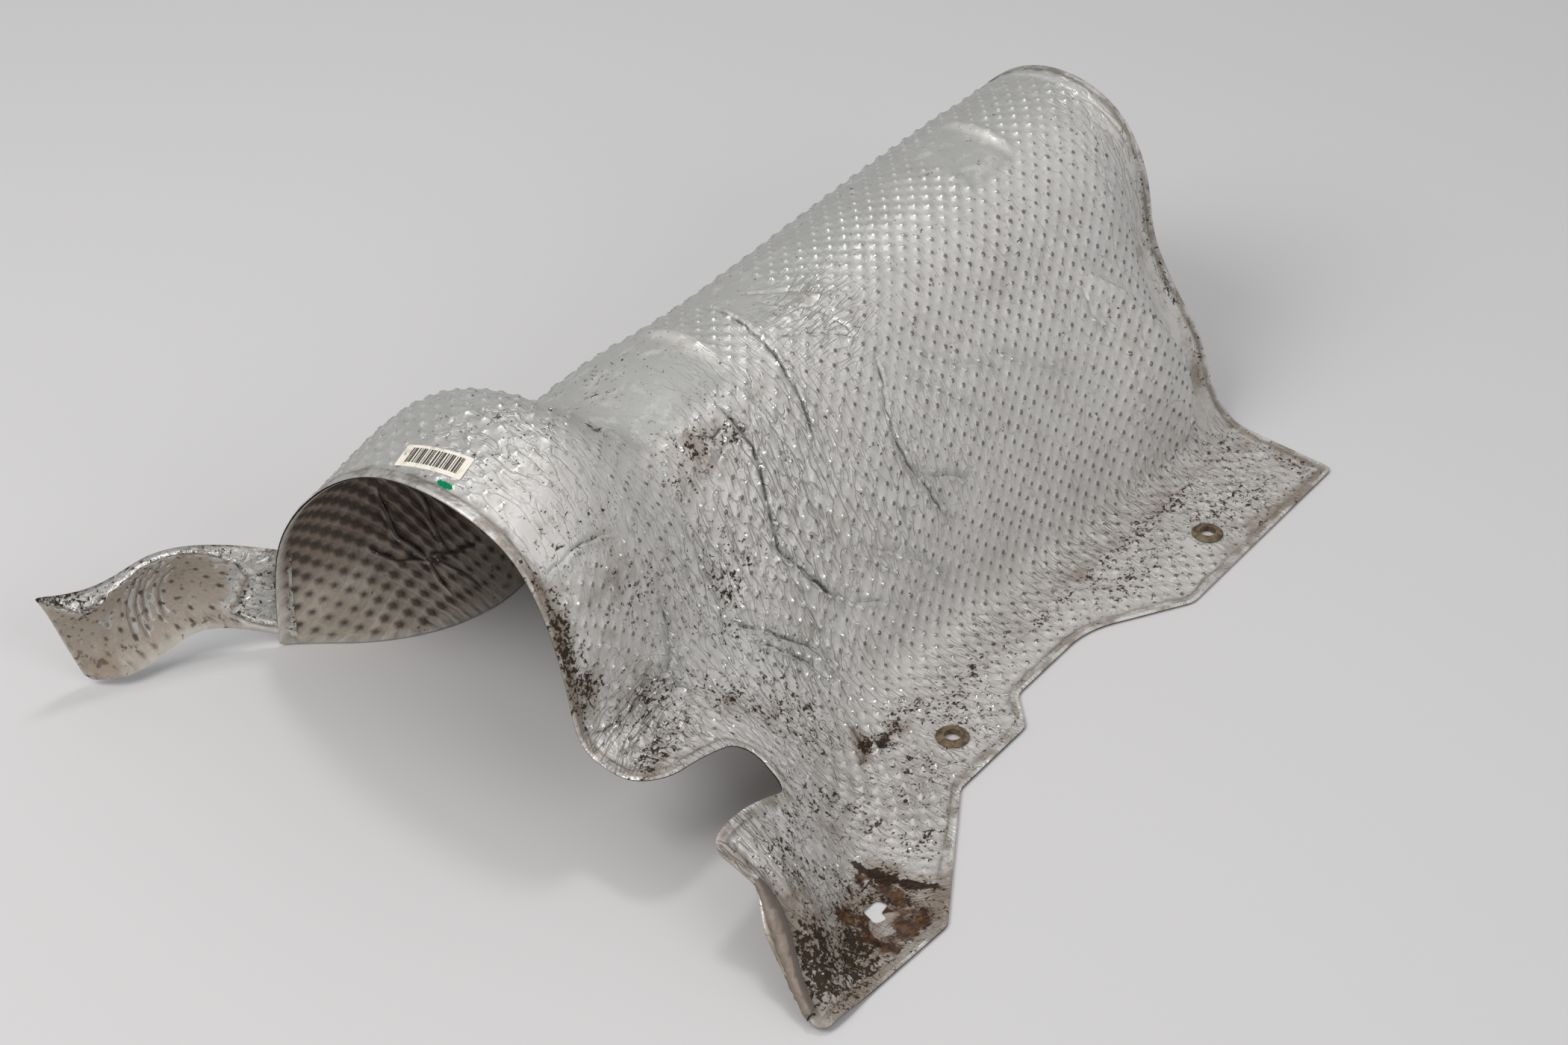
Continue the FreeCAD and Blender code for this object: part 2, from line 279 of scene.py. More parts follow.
# Points of a net's surface at parameter pairs
def net_points(net, u, v):
    bu = basis(net.shape[0], u)
    bv = basis(net.shape[1], v)
    return np.einsum("ni,nj,ijk->nk", bu, bv, net, optimize=True)


# Unit normals of a net's surface, on the outer side
def net_normals(net, u, v, side):
    step = 1e-4
    u = np.clip(u, step, 1 - step)
    v = np.clip(v, step, 1 - step)
    along = net_points(net, u + step, v) - net_points(net, u - step, v)
    across = net_points(net, u, v + step) - net_points(net, u, v - step)
    normal = side * np.cross(along, across)
    return normal / np.linalg.norm(normal, axis=1)[:, None]


def section_points(row):
    x, crown, foot_y, shoulder_y, right_shoulder, wall, waist, shelf, shelf_edge, fold_y = row
    crown_y, crown_z = crown
    profile = [
        (foot_y, FOOT_LIFT),
        (0.5 * (foot_y + shoulder_y) + 4, 0.30 * crown_z),
        (shoulder_y, 0.54 * crown_z),
        (crown_y + 0.45 * (shoulder_y - crown_y), 1.02 * crown_z),
        (crown_y + 0.50 * (right_shoulder[0] - crown_y), 1.02 * crown_z),
        right_shoulder,
        wall,
        waist,
        shelf,
        shelf_edge,
        (fold_y, 0),
        (fold_y - FLANGE_REACH / 6, 0),
        (fold_y - FLANGE_REACH / 2, 0),
        (fold_y - FLANGE_REACH, 0),
    ]
    return [(x, y, z) for y, z in profile]


# Table that turns (x, s) on the sheet into the net's parameters. s is 0 at CROWN_AT of the way across, and
# from SHOULDER_COLUMN on each row's y only falls
SHEET_NET = np.array([section_points(row) for row in SECTIONS], float)
CROWN_AT = 2.5 / 11
SHOULDER_COLUMN = 200
TABLE_STEP = 2.0
u_fine = np.linspace(0, 1, 2001)
x_fine = basis(len(SECTIONS), u_fine) @ SHEET_NET[:, 0, 0]
x_table = np.arange(SECTIONS[0][0], SECTIONS[-1][0] + 0.1, TABLE_STEP)
u_table = np.interp(x_table, x_fine, u_fine)
v_table = np.linspace(0, 1, 1001)
table = np.einsum("ni,mj,ijk->nmk", basis(len(SECTIONS), u_table), basis(SHEET_NET.shape[1], v_table),
                  SHEET_NET, optimize=True)
run = np.concatenate((np.zeros((len(x_table), 1)),
                      np.cumsum(np.linalg.norm(np.diff(table, axis=1), axis=2), axis=1)), axis=1)
crown_column = int(round(CROWN_AT * (len(v_table) - 1)))
s_table = run[:, crown_column:crown_column + 1] - run


# Value between the two table rows on either side of each x, where look(row, points) reads one row
def between_rows(x, look):
    place = np.clip((np.asarray(x, float) - x_table[0]) / TABLE_STEP, 0, len(x_table) - 1.001)
    low = place.astype(int)
    part = place - low
    out = np.zeros(len(place))
    for i in np.unique(low):
        here = np.nonzero(low == i)[0]
        out[here] = (1 - part[here]) * look(i, here) + part[here] * look(i + 1, here)
    return out


def sheet_parameters(x, s):
    s = np.asarray(s, float)
    v = between_rows(x, lambda i, here: np.interp(-s[here], -s_table[i], v_table))
    return np.interp(x, x_fine, u_fine), v


# Distance across the sheet of plan points, from the left shoulder over the crown to the flange
def s_of_plan(x, y):
    y = np.asarray(y, float)
    over = slice(SHOULDER_COLUMN, None)
    return between_rows(x, lambda i, here: np.interp(-y[here], -table[i, over, 1], s_table[i, over]))


def s_of_foot(x):
    return between_rows(x, lambda i, here: np.full(len(here), s_table[i, 0]))


def sheet_surface(x, s):
    u, v = sheet_parameters(x, s)
    return net_points(SHEET_NET, u, v), net_normals(SHEET_NET, u, v, -1.0)


# From the tunnel's axes in millimetres to the frame in metres, set by the two eyelets
def middle_of(node):
    low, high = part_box(node)
    return np.array([0.5 * (low[0] + high[0]), 0.5 * (low[1] + high[1]), low[2]])


turn = math.atan2(REAR_HOLE[1] - MIDDLE_HOLE[1], REAR_HOLE[0] - MIDDLE_HOLE[0])
rear_eyelet = middle_of("eyelet_rear")


def to_frame(points):
    points = np.asarray(points, float) - np.array([REAR_HOLE[0], REAR_HOLE[1], EYELET_BASE])
    x = points[:, 0] * math.cos(turn) + points[:, 1] * math.sin(turn)
    y = points[:, 1] * math.cos(turn) - points[:, 0] * math.sin(turn)
    return np.stack((x, y, points[:, 2]), axis=1) * MM + rear_eyelet


# Points along a path of (x, y, radius) corners, with each inner corner rounded
def rounded_path(corners, closed, step):
    count = len(corners)
    points = []
    for i, (cx, cy, radius) in enumerate(corners):
        here = np.array([cx, cy], float)
        if radius == 0:
            points.append(here)
            continue
        back = np.array(corners[i - 1][:2], float) - here
        ahead = np.array(corners[(i + 1) % count][:2], float) - here
        back /= np.linalg.norm(back)
        ahead /= np.linalg.norm(ahead)
        half = 0.5 * math.acos(float(np.clip(back @ ahead, -1, 1)))
        middle = (back + ahead) / np.linalg.norm(back + ahead)
        centre = here + middle * radius / math.sin(half)
        sweep = math.pi - 2 * half
        steps = max(2, int(math.ceil(sweep * radius / step)))
        first = here + back * radius / math.tan(half) - centre
        last = here + ahead * radius / math.tan(half) - centre
        sign = math.copysign(1.0, first[0] * last[1] - first[1] * last[0])
        for k in range(steps + 1):
            a = sign * sweep * k / steps
            turned = np.array([first[0] * math.cos(a) - first[1] * math.sin(a),
                               first[0] * math.sin(a) + first[1] * math.cos(a)])
            points.append(centre + turned)
    if closed:
        points.append(points[0])
    return np.array(points)


# Even steps along a line of points
def even_steps(points, step):
    points = np.asarray(points, float)
    runs = np.concatenate(([0], np.cumsum(np.linalg.norm(np.diff(points, axis=0), axis=1))))
    count = max(2, int(round(runs[-1] / step)) + 1)
    places = np.linspace(0, runs[-1], count)
    return np.stack([np.interp(places, runs, points[:, k]) for k in range(points.shape[1])], axis=1)


# Points close together along a closed outline
def around(loop, step):
    return even_steps(np.concatenate((loop, loop[:1])), step)


def sheet_outline():
    plan = even_steps(rounded_path(OUTLINE, False, 1.0), 1.0)
    right = on_sheet(plan)
    foot_x = np.arange(REAR_RIM_X, FRONT_RIM_X - 0.1, -EDGE_STEP)
    foot_x[-1] = FRONT_RIM_X
    left = np.stack((foot_x, s_of_foot(foot_x)), axis=1)
    return around(np.concatenate((right, left)), EDGE_STEP)[:-1]


# Nearest point of a line, which has its points close together: its index and its distance, for each point
def nearest(line, points):
    tree = KDTree(len(line))
    for i, p in enumerate(line):
        tree.insert((p[0], p[1], 0), i)
    tree.balance()
    found = [tree.find((p[0], p[1], 0)) for p in points]
    return np.array([f[1] for f in found]), np.array([f[2] for f in found])


def distance_to(line, points):
    return nearest(line, points)[1]


def inside_loop(loop, points):
    a = loop
    b = np.roll(loop, -1, axis=0)
    inside = np.zeros(len(points), bool)
    for (ax, ay), (bx, by) in zip(a, b):
        if ay == by:
            continue
        crosses = (ay > points[:, 1]) != (by > points[:, 1])
        inside ^= crosses & (points[:, 0] < ax + (points[:, 1] - ay) / (by - ay) * (bx - ax))
    return inside


def smooth_step(value, low, high):
    t = np.clip((value - low) / (high - low), 0, 1)
    return t * t * (3 - 2 * t)


# Soft hill, 1 at the middle
def hill(value, middle, reach):
    return np.exp(-((value - middle) / reach) ** 2)


def circle(centre, radius, count):
    a = 2 * math.pi * np.arange(count) / count
    return np.stack((centre[0] + radius * np.cos(a), centre[1] + radius * np.sin(a)), axis=1)


def rings(centres, radius, count):
    return np.concatenate([circle(c, radius, count) for c in centres])


def uneven(points, size, seed):
    return np.array([noise.noise((p[0] / size, p[1] / size, seed)) for p in points])


# Unit vectors to the left of a line
def left_of(line):
    ahead = np.gradient(line, axis=0)
    left = np.stack((-ahead[:, 1], ahead[:, 0]), axis=1)
    return left / np.linalg.norm(left, axis=1)[:, None]


# Rows beside an outline, on its inner side
def hem_points(loop, rows):
    ahead = np.roll(loop, -1, axis=0) - np.roll(loop, 1, axis=0)
    inward = np.stack((-ahead[:, 1], ahead[:, 0]), axis=1)
    inward /= np.linalg.norm(inward, axis=1)[:, None]
    closed = around(loop, FINE_STEP)
    if not inside_loop(loop, (loop + inward)[:1])[0]:
        inward = -inward
    kept = []
    for d in rows:
        row = loop + d * inward
        kept.append(row[distance_to(closed, row) > 0.93 * d])
    return np.concatenate(kept)


# Embossing: lattice places of the pips, and the rise at any point
PIP_AXES = np.array((PIP_A, PIP_B)).T
PIP_INVERSE = np.linalg.inv(PIP_AXES)


def pip_centres(low, high):
    reach = int(max(high[0] - low[0], high[1] - low[1]) / 5)
    i, j = np.meshgrid(np.arange(-reach, reach), np.arange(-reach, reach))
    points = (PIP_AXES @ np.stack((i.ravel(), j.ravel()))).T + np.array(PIP_ORIGIN)
    keep = np.all((points > np.array(low)) & (points < np.array(high)), axis=1)
    return points[keep]


# Place in the lattice of pips, in steps along its two directions
def lattice(points):
    return PIP_INVERSE @ (np.asarray(points) - np.array(PIP_ORIGIN)).T


# Distance to the nearest pip, and that pip's own chance from 0 to 1
def nearest_pip(points):
    i, j = lattice(points)
    off = np.hypot(*(PIP_AXES @ np.stack((i - np.round(i), j - np.round(j)))))
    chance = np.array([0.5 + 0.5 * noise.cell((round(a), round(b), 0.5)) for a, b in zip(i, j)])
    return off, chance


# Wave over the lattice, with a share for each of its directions
def lattice_wave(points, share_i, share_j):
    i, j = lattice(points)
    return 0.5 + share_i * np.cos(2 * math.pi * i) + share_j * np.cos(2 * math.pi * j)


def quilt(points):
    return lattice_wave(points, 0.25, 0.25)


# The same wave drawn out into rows, as it shows on the lining
def pit_bands(points):
    return lattice_wave(points, 0.34, 0.16)


# 1 on top of a pip, and 0 from its foot outwards
def pip_button(off):
    return smooth_step(-off, -PIP_FOOT, -PIP_TOP)


def emboss(points):
    off, chance = nearest_pip(points)
    return (0.5 * quilt(points) + 0.5 * pip_button(off)) * (0.75 + 0.35 * chance)


# Points for pips: the middle, rings at the top and the foot, and the low points between pips
def pip_points(centres, ring_rows):
    a = np.array(PIP_A)
    b = np.array(PIP_B)
    rows = [centres, centres + 0.5 * a, centres + 0.5 * b, centres + 0.5 * (a + b)]
    return np.concatenate(rows + [rings(centres, radius, count) for radius, count in ring_rows])


# Places given on the plan, on the unrolled sheet
def on_sheet(plan):
    plan = np.asarray(plan, float)
    return np.stack((plan[:, 0], s_of_plan(plan[:, 0], plan[:, 1])), axis=1)


def label_plan(places):
    a = math.radians(LABEL_TURN)
    places = np.asarray(places, float)
    x = LABEL_CENTRE[0] + places[:, 0] * math.cos(a) - places[:, 1] * math.sin(a)
    y = LABEL_CENTRE[1] + places[:, 0] * math.sin(a) + places[:, 1] * math.cos(a)
    return np.stack((x, y), axis=1)


seat_centres = on_sheet((REAR_HOLE, MIDDLE_HOLE))
worn_centre = on_sheet((WORN_HOLE,))[0]
worn_loop = on_sheet(even_steps(rounded_path(WORN_OPENING, True, 0.7), 1.2)[:-1])
worn_edge = around(worn_loop, 0.4)
ink_centre = on_sheet((INK_CENTRE,))[0]
INK_RING = circle((0, 0), 1, 14) * np.array(INK_REACH)
scorch_line = even_steps(on_sheet(SCORCH), FINE_STEP)
label_corner = 0.5 * np.array((LABEL_WIDTH, LABEL_LENGTH))
label_path = np.array(((-1, -1), (1, -1), (1, 1), (-1, 1), (-1, -1))) * label_corner
label_loop = on_sheet(label_plan(even_steps(label_path, 2.0)[:-1]))
SHEET_LOOP = sheet_outline()
SHEET_EDGE = around(SHEET_LOOP, FINE_STEP)
HOLE_LOOPS = [circle(c, SEAT_HOLE, 20) for c in seat_centres] + [worn_loop]


# Fade at both ends of a line, where t runs along it from 0 to 1
def end_fade(t, low, high):
    return smooth_step(np.minimum(t, 1 - t), low, high)


# Crease lines with an uneven course, and the depth along each, which fades at its ends
def crease_line(line):
    line = even_steps(line, CREASE_STEP)
    sway = 1.3 * uneven(line, 7, 2.2) + 2.0 * uneven(line, 24, 6.6)
    return line + left_of(line) * sway[:, None]


CREASE_LINES = [crease_line(line) for depth, line in CREASES]
crease_samples = []
crease_depths = []
for (depth, _), line in zip(CREASES, CREASE_LINES):
    fine = even_steps(line, 0.4)
    t = np.linspace(0, 1, len(fine))
    crease_samples.append(fine)
    crease_depths.append(depth * end_fade(t, -0.03, 0.16) * (1 + 0.5 * uneven(fine, 9, 4.4)))
crease_samples = np.concatenate(crease_samples)
crease_depths = np.concatenate(crease_depths)


# Rise of the creases, a sharp fold with a low ridge on each side, and how dark each point is with painted
# shade in the fold
def creases(points):
    index, gap = nearest(crease_samples, points)
    depth = crease_depths[index]
    rise = depth * (0.45 * hill(gap, 1.9, 0.9) - hill(gap, 0, 0.75))
    return rise, np.clip(depth / 1.4, 0, 1.15) * hill(gap, 0, 0.6 + 0.25 * depth)


def crease_points():
    rows = []
    for line in CREASE_LINES:
        rows += [line + d * left_of(line) for d in CREASE_ROWS]
    return np.concatenate(rows)


def ledges(points):
    rise = np.zeros(len(points))
    for height, reach, line in LEDGES:
        line = even_steps(line, 1.0)
        index, gap = nearest(line, points)
        side = np.einsum("nk,nk->n", points - line[index], left_of(line)[index])
        ends = end_fade(index / (len(line) - 1), 0, 0.2)
        rise -= height * ends * np.tanh(side / 1.6) * np.exp(-gap / reach)
    return rise


def valleys(points):
    rise = np.zeros(len(points))
    for depth, width, line in VALLEYS:
        line = even_steps(line, 1.0)
        index, gap = nearest(line, points)
        rise -= depth * end_fade(index / (len(line) - 1), -0.05, 0.3) * hill(gap, 0, width)
    return rise


# Soft round hills on the sheet, as rows of x, s, half-length along x, half-length along s and height
def round_hills(points, rows):
    return [height * hill(points[:, 0], x, rx) * hill(points[:, 1], s, rs) for x, s, rx, rs, height in rows]


# Their sum, and the highest of them at each point
def hills(points, rows):
    return np.sum(round_hills(points, rows), axis=0)


def spots(points, rows):
    return np.max(round_hills(points, rows), axis=0)


def broad_dents(points):
    rise = 0.5 * uneven(points, 42, 3.1) + 0.3 * uneven(points, 15, 8.4)
    return rise + hills(points, DENTS) + ledges(points) + valleys(points)


# Distance from a pad
def pad_gap(points, x0, x1, s0, s1):
    gap_x = np.maximum(np.maximum(x0 - points[:, 0], points[:, 0] - x1), 0)
    gap_s = np.maximum(np.maximum(s0 - points[:, 1], points[:, 1] - s1), 0)
    return np.hypot(gap_x, gap_s)


# Share of the embossing at each point, from none on the pads, the label and the seats to more on bold parts
def emboss_share(points):
    share = 0.85 + 0.3 * uneven(points, 55, 7.7) + hills(points, BOLD)
    for *sides, _ in PADS:
        share *= np.clip(pad_gap(points, *sides) / PAD_FADE, 0.08, 1)
    for c in list(seat_centres) + [worn_centre]:
        share *= smooth_step(np.hypot(*(points - c).T), *SEAT_CLEAR)
    return share * (1 - label_seat(points))


def label_seat(points):
    near = np.hypot(*(points - label_loop.mean(axis=0)).T) < LABEL_LENGTH
    seat = np.zeros(len(points))
    if near.any():
        gap = distance_to(label_loop, points[near])
        seat[near] = np.where(inside_loop(label_loop, points[near]), 1, smooth_step(-gap, -LABEL_FADE, 0))
    return seat


def seat_rise(points):
    rise = np.zeros(len(points))
    for c in seat_centres:
        rise = np.maximum(rise, SEAT_RISE * smooth_step(-np.hypot(*(points - c).T), -SEAT_FOOT, -SEAT_RADIUS))
    return rise


# Distance from the edge, with the sway of the hem's inner border
def hem_gap(points, edge):
    return edge + 1.2 * uneven(points, 11, 4.9)


# 0 on the hem and 1 on the sheet inside it
def hem_body(points, edge):
    return smooth_step(hem_gap(points, edge), HEM_WIDTH, HEM_WIDTH + HEM_FADE)


# Rounding of a rim, from its least at the edge to 1
def rim_round(edge, least=0.0):
    return np.sqrt(np.clip(edge / RIM_ROUND, least, 1))


# Rise of each skin above the net; both end in the same rounded rim
def outer_rise(points, edge):
    body = hem_body(points, edge)
    hem = HEM_TOP * (0.5 + 0.5 * rim_round(edge))
    hem -= (0.9 + 0.7 * uneven(points, 6, 9.1)) * hill(edge, 3.4, 1.4)
    worn = np.hypot(*(points - worn_centre).T)
    flat = OUTER_BASE + EMBOSS_RISE * emboss_share(points) * emboss(points) + creases(points)[0]
    flat += (LABEL_TOP - 0.4 - OUTER_BASE) * label_seat(points)
    flat -= 0.4 * smooth_step(-worn, -WORN_RADIUS - 0.6, -WORN_RADIUS + 0.6)
    return (1 - body) * hem + body * flat


def inner_rise(points, edge):
    body = smooth_step(edge, 3.0, 8.0)
    rim = 0.5 * HEM_TOP * (1 - rim_round(edge))
    close = OUTER_BASE * smooth_step(-distance_to(worn_edge, points), -1.0, 0)
    close -= 0.6 * smooth_step(-np.hypot(*(points - worn_centre).T), -WORN_RADIUS, 2 - WORN_RADIUS)
    rise = rim + close + body * (QUILT_DEPTH * emboss_share(points) * pit_bands(points) + creases(points)[0])
    return np.minimum(rise, outer_rise(points, edge) - SKIN_GAP * smooth_step(edge, 1.0, 4.0))


# Dents and seats move both skins together; the dents leave the flange and the edges as they are, apart from
# the rear rim's waves
def sheet_place(points, rise, edge):
    base, normal = sheet_surface(points[:, 0], points[:, 1])
    hold = smooth_step(edge, *DENT_EDGE) * smooth_step(base[:, 2], *DENT_HEIGHT)
    rise = rise + hold * broad_dents(points) + hills(points, RIM_WAVES) + seat_rise(points)
    placed = base + normal * rise[:, None]
    placed[:, 2] = np.maximum(placed[:, 2], LOWEST)
    return placed


# Triangles over an unrolled skin, which keep its outline and its holes
def triangulate(loops, extra):
    coords = []
    edges = []
    for loop in loops:
        start = len(coords)
        coords += [tuple(p) for p in loop]
        edges += [(start + k, start + (k + 1) % len(loop)) for k in range(len(loop))]
    coords += [tuple(p) for p in extra]
    found = delaunay_2d_cdt([Vector(c) for c in coords], edges, [], 1, 1e-4, False)
    points = np.array([(v.x, v.y) for v in found[0]])
    faces = np.array(found[2], int)
    centre = points[faces].mean(axis=1)
    keep = inside_loop(loops[0], centre)
    for loop in loops[1:]:
        keep &= ~inside_loop(loop, centre)
    return points, faces[keep]


def inside_points(points, loops, edge, gap):
    points = points[inside_loop(loops[0], points) & (distance_to(edge, points) > gap)]
    for loop in loops[1:]:
        points = points[~inside_loop(loop, points)]
    return points


def sheet_points(ring_rows, hem_rows):
    loops = [SHEET_LOOP] + HOLE_LOOPS
    centres = pip_centres(SHEET_LOOP.min(axis=0), SHEET_LOOP.max(axis=0))
    pips = inside_points(pip_points(centres, ring_rows), loops, SHEET_EDGE, max(hem_rows) + 1.0)
    seats = np.concatenate((seat_centres, worn_centre[None]))
    clear = np.min([np.hypot(*(pips - c).T) for c in seats], axis=0)
    folds = inside_points(crease_points(), loops, SHEET_EDGE, max(hem_rows) + 0.6)
    pips = pips[(clear > SEAT_FOOT + 1.5) & (distance_to(folds, pips) > 0.7)]
    extra = [rings(seat_centres, r, n) for r, n in ((9.5, 24), (SEAT_RADIUS, 30), (SEAT_FOOT, 36))]
    extra += [rings([worn_centre], WORN_RADIUS + d, 40) for d in (-4.5, -0.7, 0.7, 3.5)]
    extra += [ink_centre + scale * INK_RING for scale in (0.0, 0.5, 0.9, 1.15)]
    extra = [inside_points(e, loops, SHEET_EDGE, 3.0) for e in extra]
    return loops, np.concatenate([hem_points(SHEET_LOOP, hem_rows), pips, folds] + extra)


# Patches with a net of their own, unrolled to a rectangle (along it, across it)
def line_length(points):
    return np.linalg.norm(np.diff(points, axis=0), axis=1).sum()


class Patch:
    def __init__(self, net, corner):
        self.net = np.array(net, float)
        middle = np.full(50, 0.5)
        even = np.linspace(0, 1, 50)
        self.length = line_length(net_points(self.net, even, middle))
        self.width = line_length(net_points(self.net, middle, even))
        end = self.length
        corners = ((0, 0, 0), (end, 0, corner), (end, self.width, corner), (0, self.width, 0))
        self.loop = even_steps(rounded_path(corners, True, 1.0), EDGE_STEP)[:-1]
        self.edge = even_steps(rounded_path(corners, False, 1.0), FINE_STEP)

    def at(self, shares):
        return np.asarray(shares, float) * np.array((self.length, self.width))

    def place(self, points, rise):
        u = points[:, 0] / self.length
        v = points[:, 1] / self.width
        return net_points(self.net, u, v) + net_normals(self.net, u, v, 1.0) * rise[:, None]

    def points(self, ring_rows, hem_rows, lines):
        centres = pip_centres((-10, -10), (self.length + 10, self.width + 10))
        rim = around(self.loop, FINE_STEP)
        pips = inside_points(pip_points(centres, ring_rows), [self.loop], rim, max(hem_rows) + 0.8)
        extra = [hem_points(self.loop, hem_rows), pips]
        if lines is not None:
            lines = inside_points(lines, [self.loop], rim, max(hem_rows) + 0.8)
            extra = [extra[0], pips[distance_to(lines, pips) > 1.0], lines]
        return np.concatenate(extra)


def wall_point(x, height):
    row = table[int(round((x - x_table[0]) / TABLE_STEP)), :crown_column]
    return [np.interp(height, row[:, 2], row[:, k]) for k in range(3)]


STRAP = Patch([[wall_point(STRAP_ROOT_X, z) for z in STRAP_ROOT_HEIGHTS]] + list(STRAP_ROWS), 4)
FLAP = Patch(FLAP_ROWS, 2)
# Folded rim of the strap's scoop, as shares of its length and width; beyond it the bright side shows
SCOOP_RIM = ((1.0, 0.93), (0.92, 0.86), (0.83, 0.66), (0.79, 0.66), (0.71, 0.78), (0.53, 0.82), (0.34, 0.82),
             (0.21, 0.83), (0.13, 0.77), (0.09, 0.61), (0.10, 0.30), (0.14, 0.13), (0.10, 0.08), (0.0, 0.08))
# Folds across the scoop, in the same shares
SCOOP_FOLDS = (((0.47, 0.74), (0.53, 0.38), (0.58, 0.10)), ((0.53, 0.72), (0.59, 0.36), (0.64, 0.12)),
               ((0.42, 0.68), (0.48, 0.42), (0.52, 0.16)), ((0.34, 0.60), (0.40, 0.34), (0.43, 0.14)))
scoop_rim = even_steps(STRAP.at(SCOOP_RIM), 1.5)
scoop_folds = [even_steps(STRAP.at(fold), 1.5) for fold in SCOOP_FOLDS]
fold_samples = np.concatenate([even_steps(fold, FINE_STEP) for fold in scoop_folds])
strap_band = STRAP.at(SCOOP_RIM + ((0.0, 1.0), (1.0, 1.0)))


def strap_back_rise(points, edge):
    body = smooth_step(edge, 3.0, 6.0)
    rise = (1 - body) * 1.3 * rim_round(edge, 0.2)
    return rise + body * (OUTER_BASE + EMBOSS_RISE * emboss(points) + 0.4 * uneven(points, 12, 5.5))


def strap_front_rise(points, edge):
    body = smooth_step(edge, 3.0, 6.0)
    rim = 0.58 * (1 - rim_round(edge))
    gap = distance_to(scoop_rim, points)
    band = inside_loop(strap_band, points)
    crumple = np.where(band, 1.2 * uneven(points, 6, 3.3), 0.25 * uneven(points, 14, 3.3))
    wave = np.where(band, -0.9 * emboss(points), 1.5 * quilt(points))
    bead = -1.3 * hill(gap, 0, 1.1) + 0.9 * hill(gap, 2.4, 1.0)
    fold_gap = distance_to(fold_samples, points)
    folds = 0.5 * hill(fold_gap, 2.6, 1.3) - 0.8 * hill(fold_gap, 0, 1.2)
    return rim + body * (wave + crumple + bead + folds)


def rib_wave(points):
    return np.cos(2 * math.pi * points[:, 0] / RIB_PITCH)


def flap_top_rise(points, edge):
    ribs = 0.5 * rib_wave(points) * hill(points[:, 1] / FLAP.width, 0.25, 0.25)
    return 0.7 + 0.7 * rim_round(edge) - 0.4 * smooth_step(edge, 1.5, 4.0) + ribs


def flap_under_rise(points, edge):
    return 0.7 * (1 - rim_round(edge))


# Places of dirt and rust on the sheet: x, s, half-length along x, half-length along s, strength
SOIL = (
    (-266, -335, 26, 22, 1.4), (-240, -352, 44, 18, 1.4), (-215, -345, 36, 28, 1.1),
    (-192, -325, 14, 16, 1.2), (-240, -300, 26, 34, 0.7), (-122, -241, 8, 7, 1.8),
    (-112, -250, 9, 6, 1.4), (-90, -250, 26, 9, 0.95),
    (-128, -56, 30, 18, 0.75), (-106, -62, 14, 14, 0.7), (-150, -152, 14, 16, 0.9), (-140, -120, 24, 30, 0.6),
    (-258, -148, 12, 22, 1.2), (-264, -112, 9, 40, 1.1), (-224, -184, 36, 16, 0.8), (-175, -190, 26, 22, 0.7),
    (-166, -20, 5, 7, 1.1), (-150, -205, 34, 34, 0.65), (-180, -270, 34, 30, 0.7), (-160, -300, 26, 24, 0.6),
    (-235, -75, 30, 24, 0.45), (-215, -20, 40, 50, 0.3), (-200, -130, 50, 30, 0.4), (-236, -205, 34, 14, 0.9),
    (-224, -282, 30, 20, 0.6), (40, -268, 60, 8, 0.7), (110, -268, 60, 8, 0.8), (160, -267, 60, 9, 0.85),
    (228, -262, 26, 16, 0.7), (244, -295, 12, 34, 0.7), (250, -150, 6, 70, 0.7), (-60, -262, 36, 14, 0.75),
    (-20, -262, 40, 8, 0.7), (190, -296, 70, 34, 0.6), (90, -285, 60, 16, 0.6), (-70, -280, 50, 30, 0.55),
    (-130, -280, 40, 30, 0.6), (-120, 20, 40, 30, 0.25),
)
RUST = (
    (-212, -364, 22, 12, 1.1), (-199, -345, 9, 20, 1.1), (-228, -336, 8, 12, 1.1), (-196, -322, 12, 8, 0.8),
    (-124, -240, 10, 5, 0.35),
)
# Brown smears on the sheet, in the same form
BROWN = (
    (-264, -112, 9, 40, 1.3), (-256, -150, 14, 18, 1.3), (-224, -170, 30, 12, 0.6), (-262, -320, 26, 30, 1.3),
    (-236, -350, 48, 24, 1.5), (-205, -345, 34, 30, 1.4), (-190, -318, 18, 12, 1.0), (-124, -240, 10, 8, 1.1),
    (-104, -252, 24, 8, 0.8), (-220, -120, 34, 34, 0.5), (-128, -56, 26, 16, 0.7), (120, -262, 110, 9, 0.7),
    (245, -290, 14, 40, 0.8), (243, -206, 8, 34, 0.9), (238, -150, 7, 40, 0.6), (200, -318, 60, 10, 0.7),
    (-180, -200, 30, 18, 0.6), (-245, -210, 28, 12, 0.7), (-190, -285, 20, 12, 0.6),
)
# Wrinkled parts of the sheet: across the tunnel, then along it
WRINKLES = (
    (-150, -205, 70, 50, 0.9), (-240, -270, 50, 80, 1.0), (-80, -110, 50, 70, 0.7), (-150, -110, 60, 50, 0.6),
    (-20, -150, 70, 50, 0.45), (236, -90, 18, 60, 0.6), (100, -250, 200, 14, 0.7), (180, -290, 90, 40, 0.5),
    (-220, -30, 50, 60, 0.35), (-100, -290, 80, 40, 0.4),
)
LONG_WRINKLES = ((-240, -186, 34, 22, 1.0), (-215, -345, 50, 30, 0.6), (-10, -40, 30, 30, 0.6))
STREAKS = (
    (-256, -280, 26, 50, 1.0), (-250, -250, 22, 40, 0.9), (110, -258, 150, 12, 0.8), (-40, -254, 60, 12, 0.7),
)


def pip_tips(points):
    off, chance = nearest_pip(points)
    return pip_button(off) * (0.5 + 0.5 * chance)


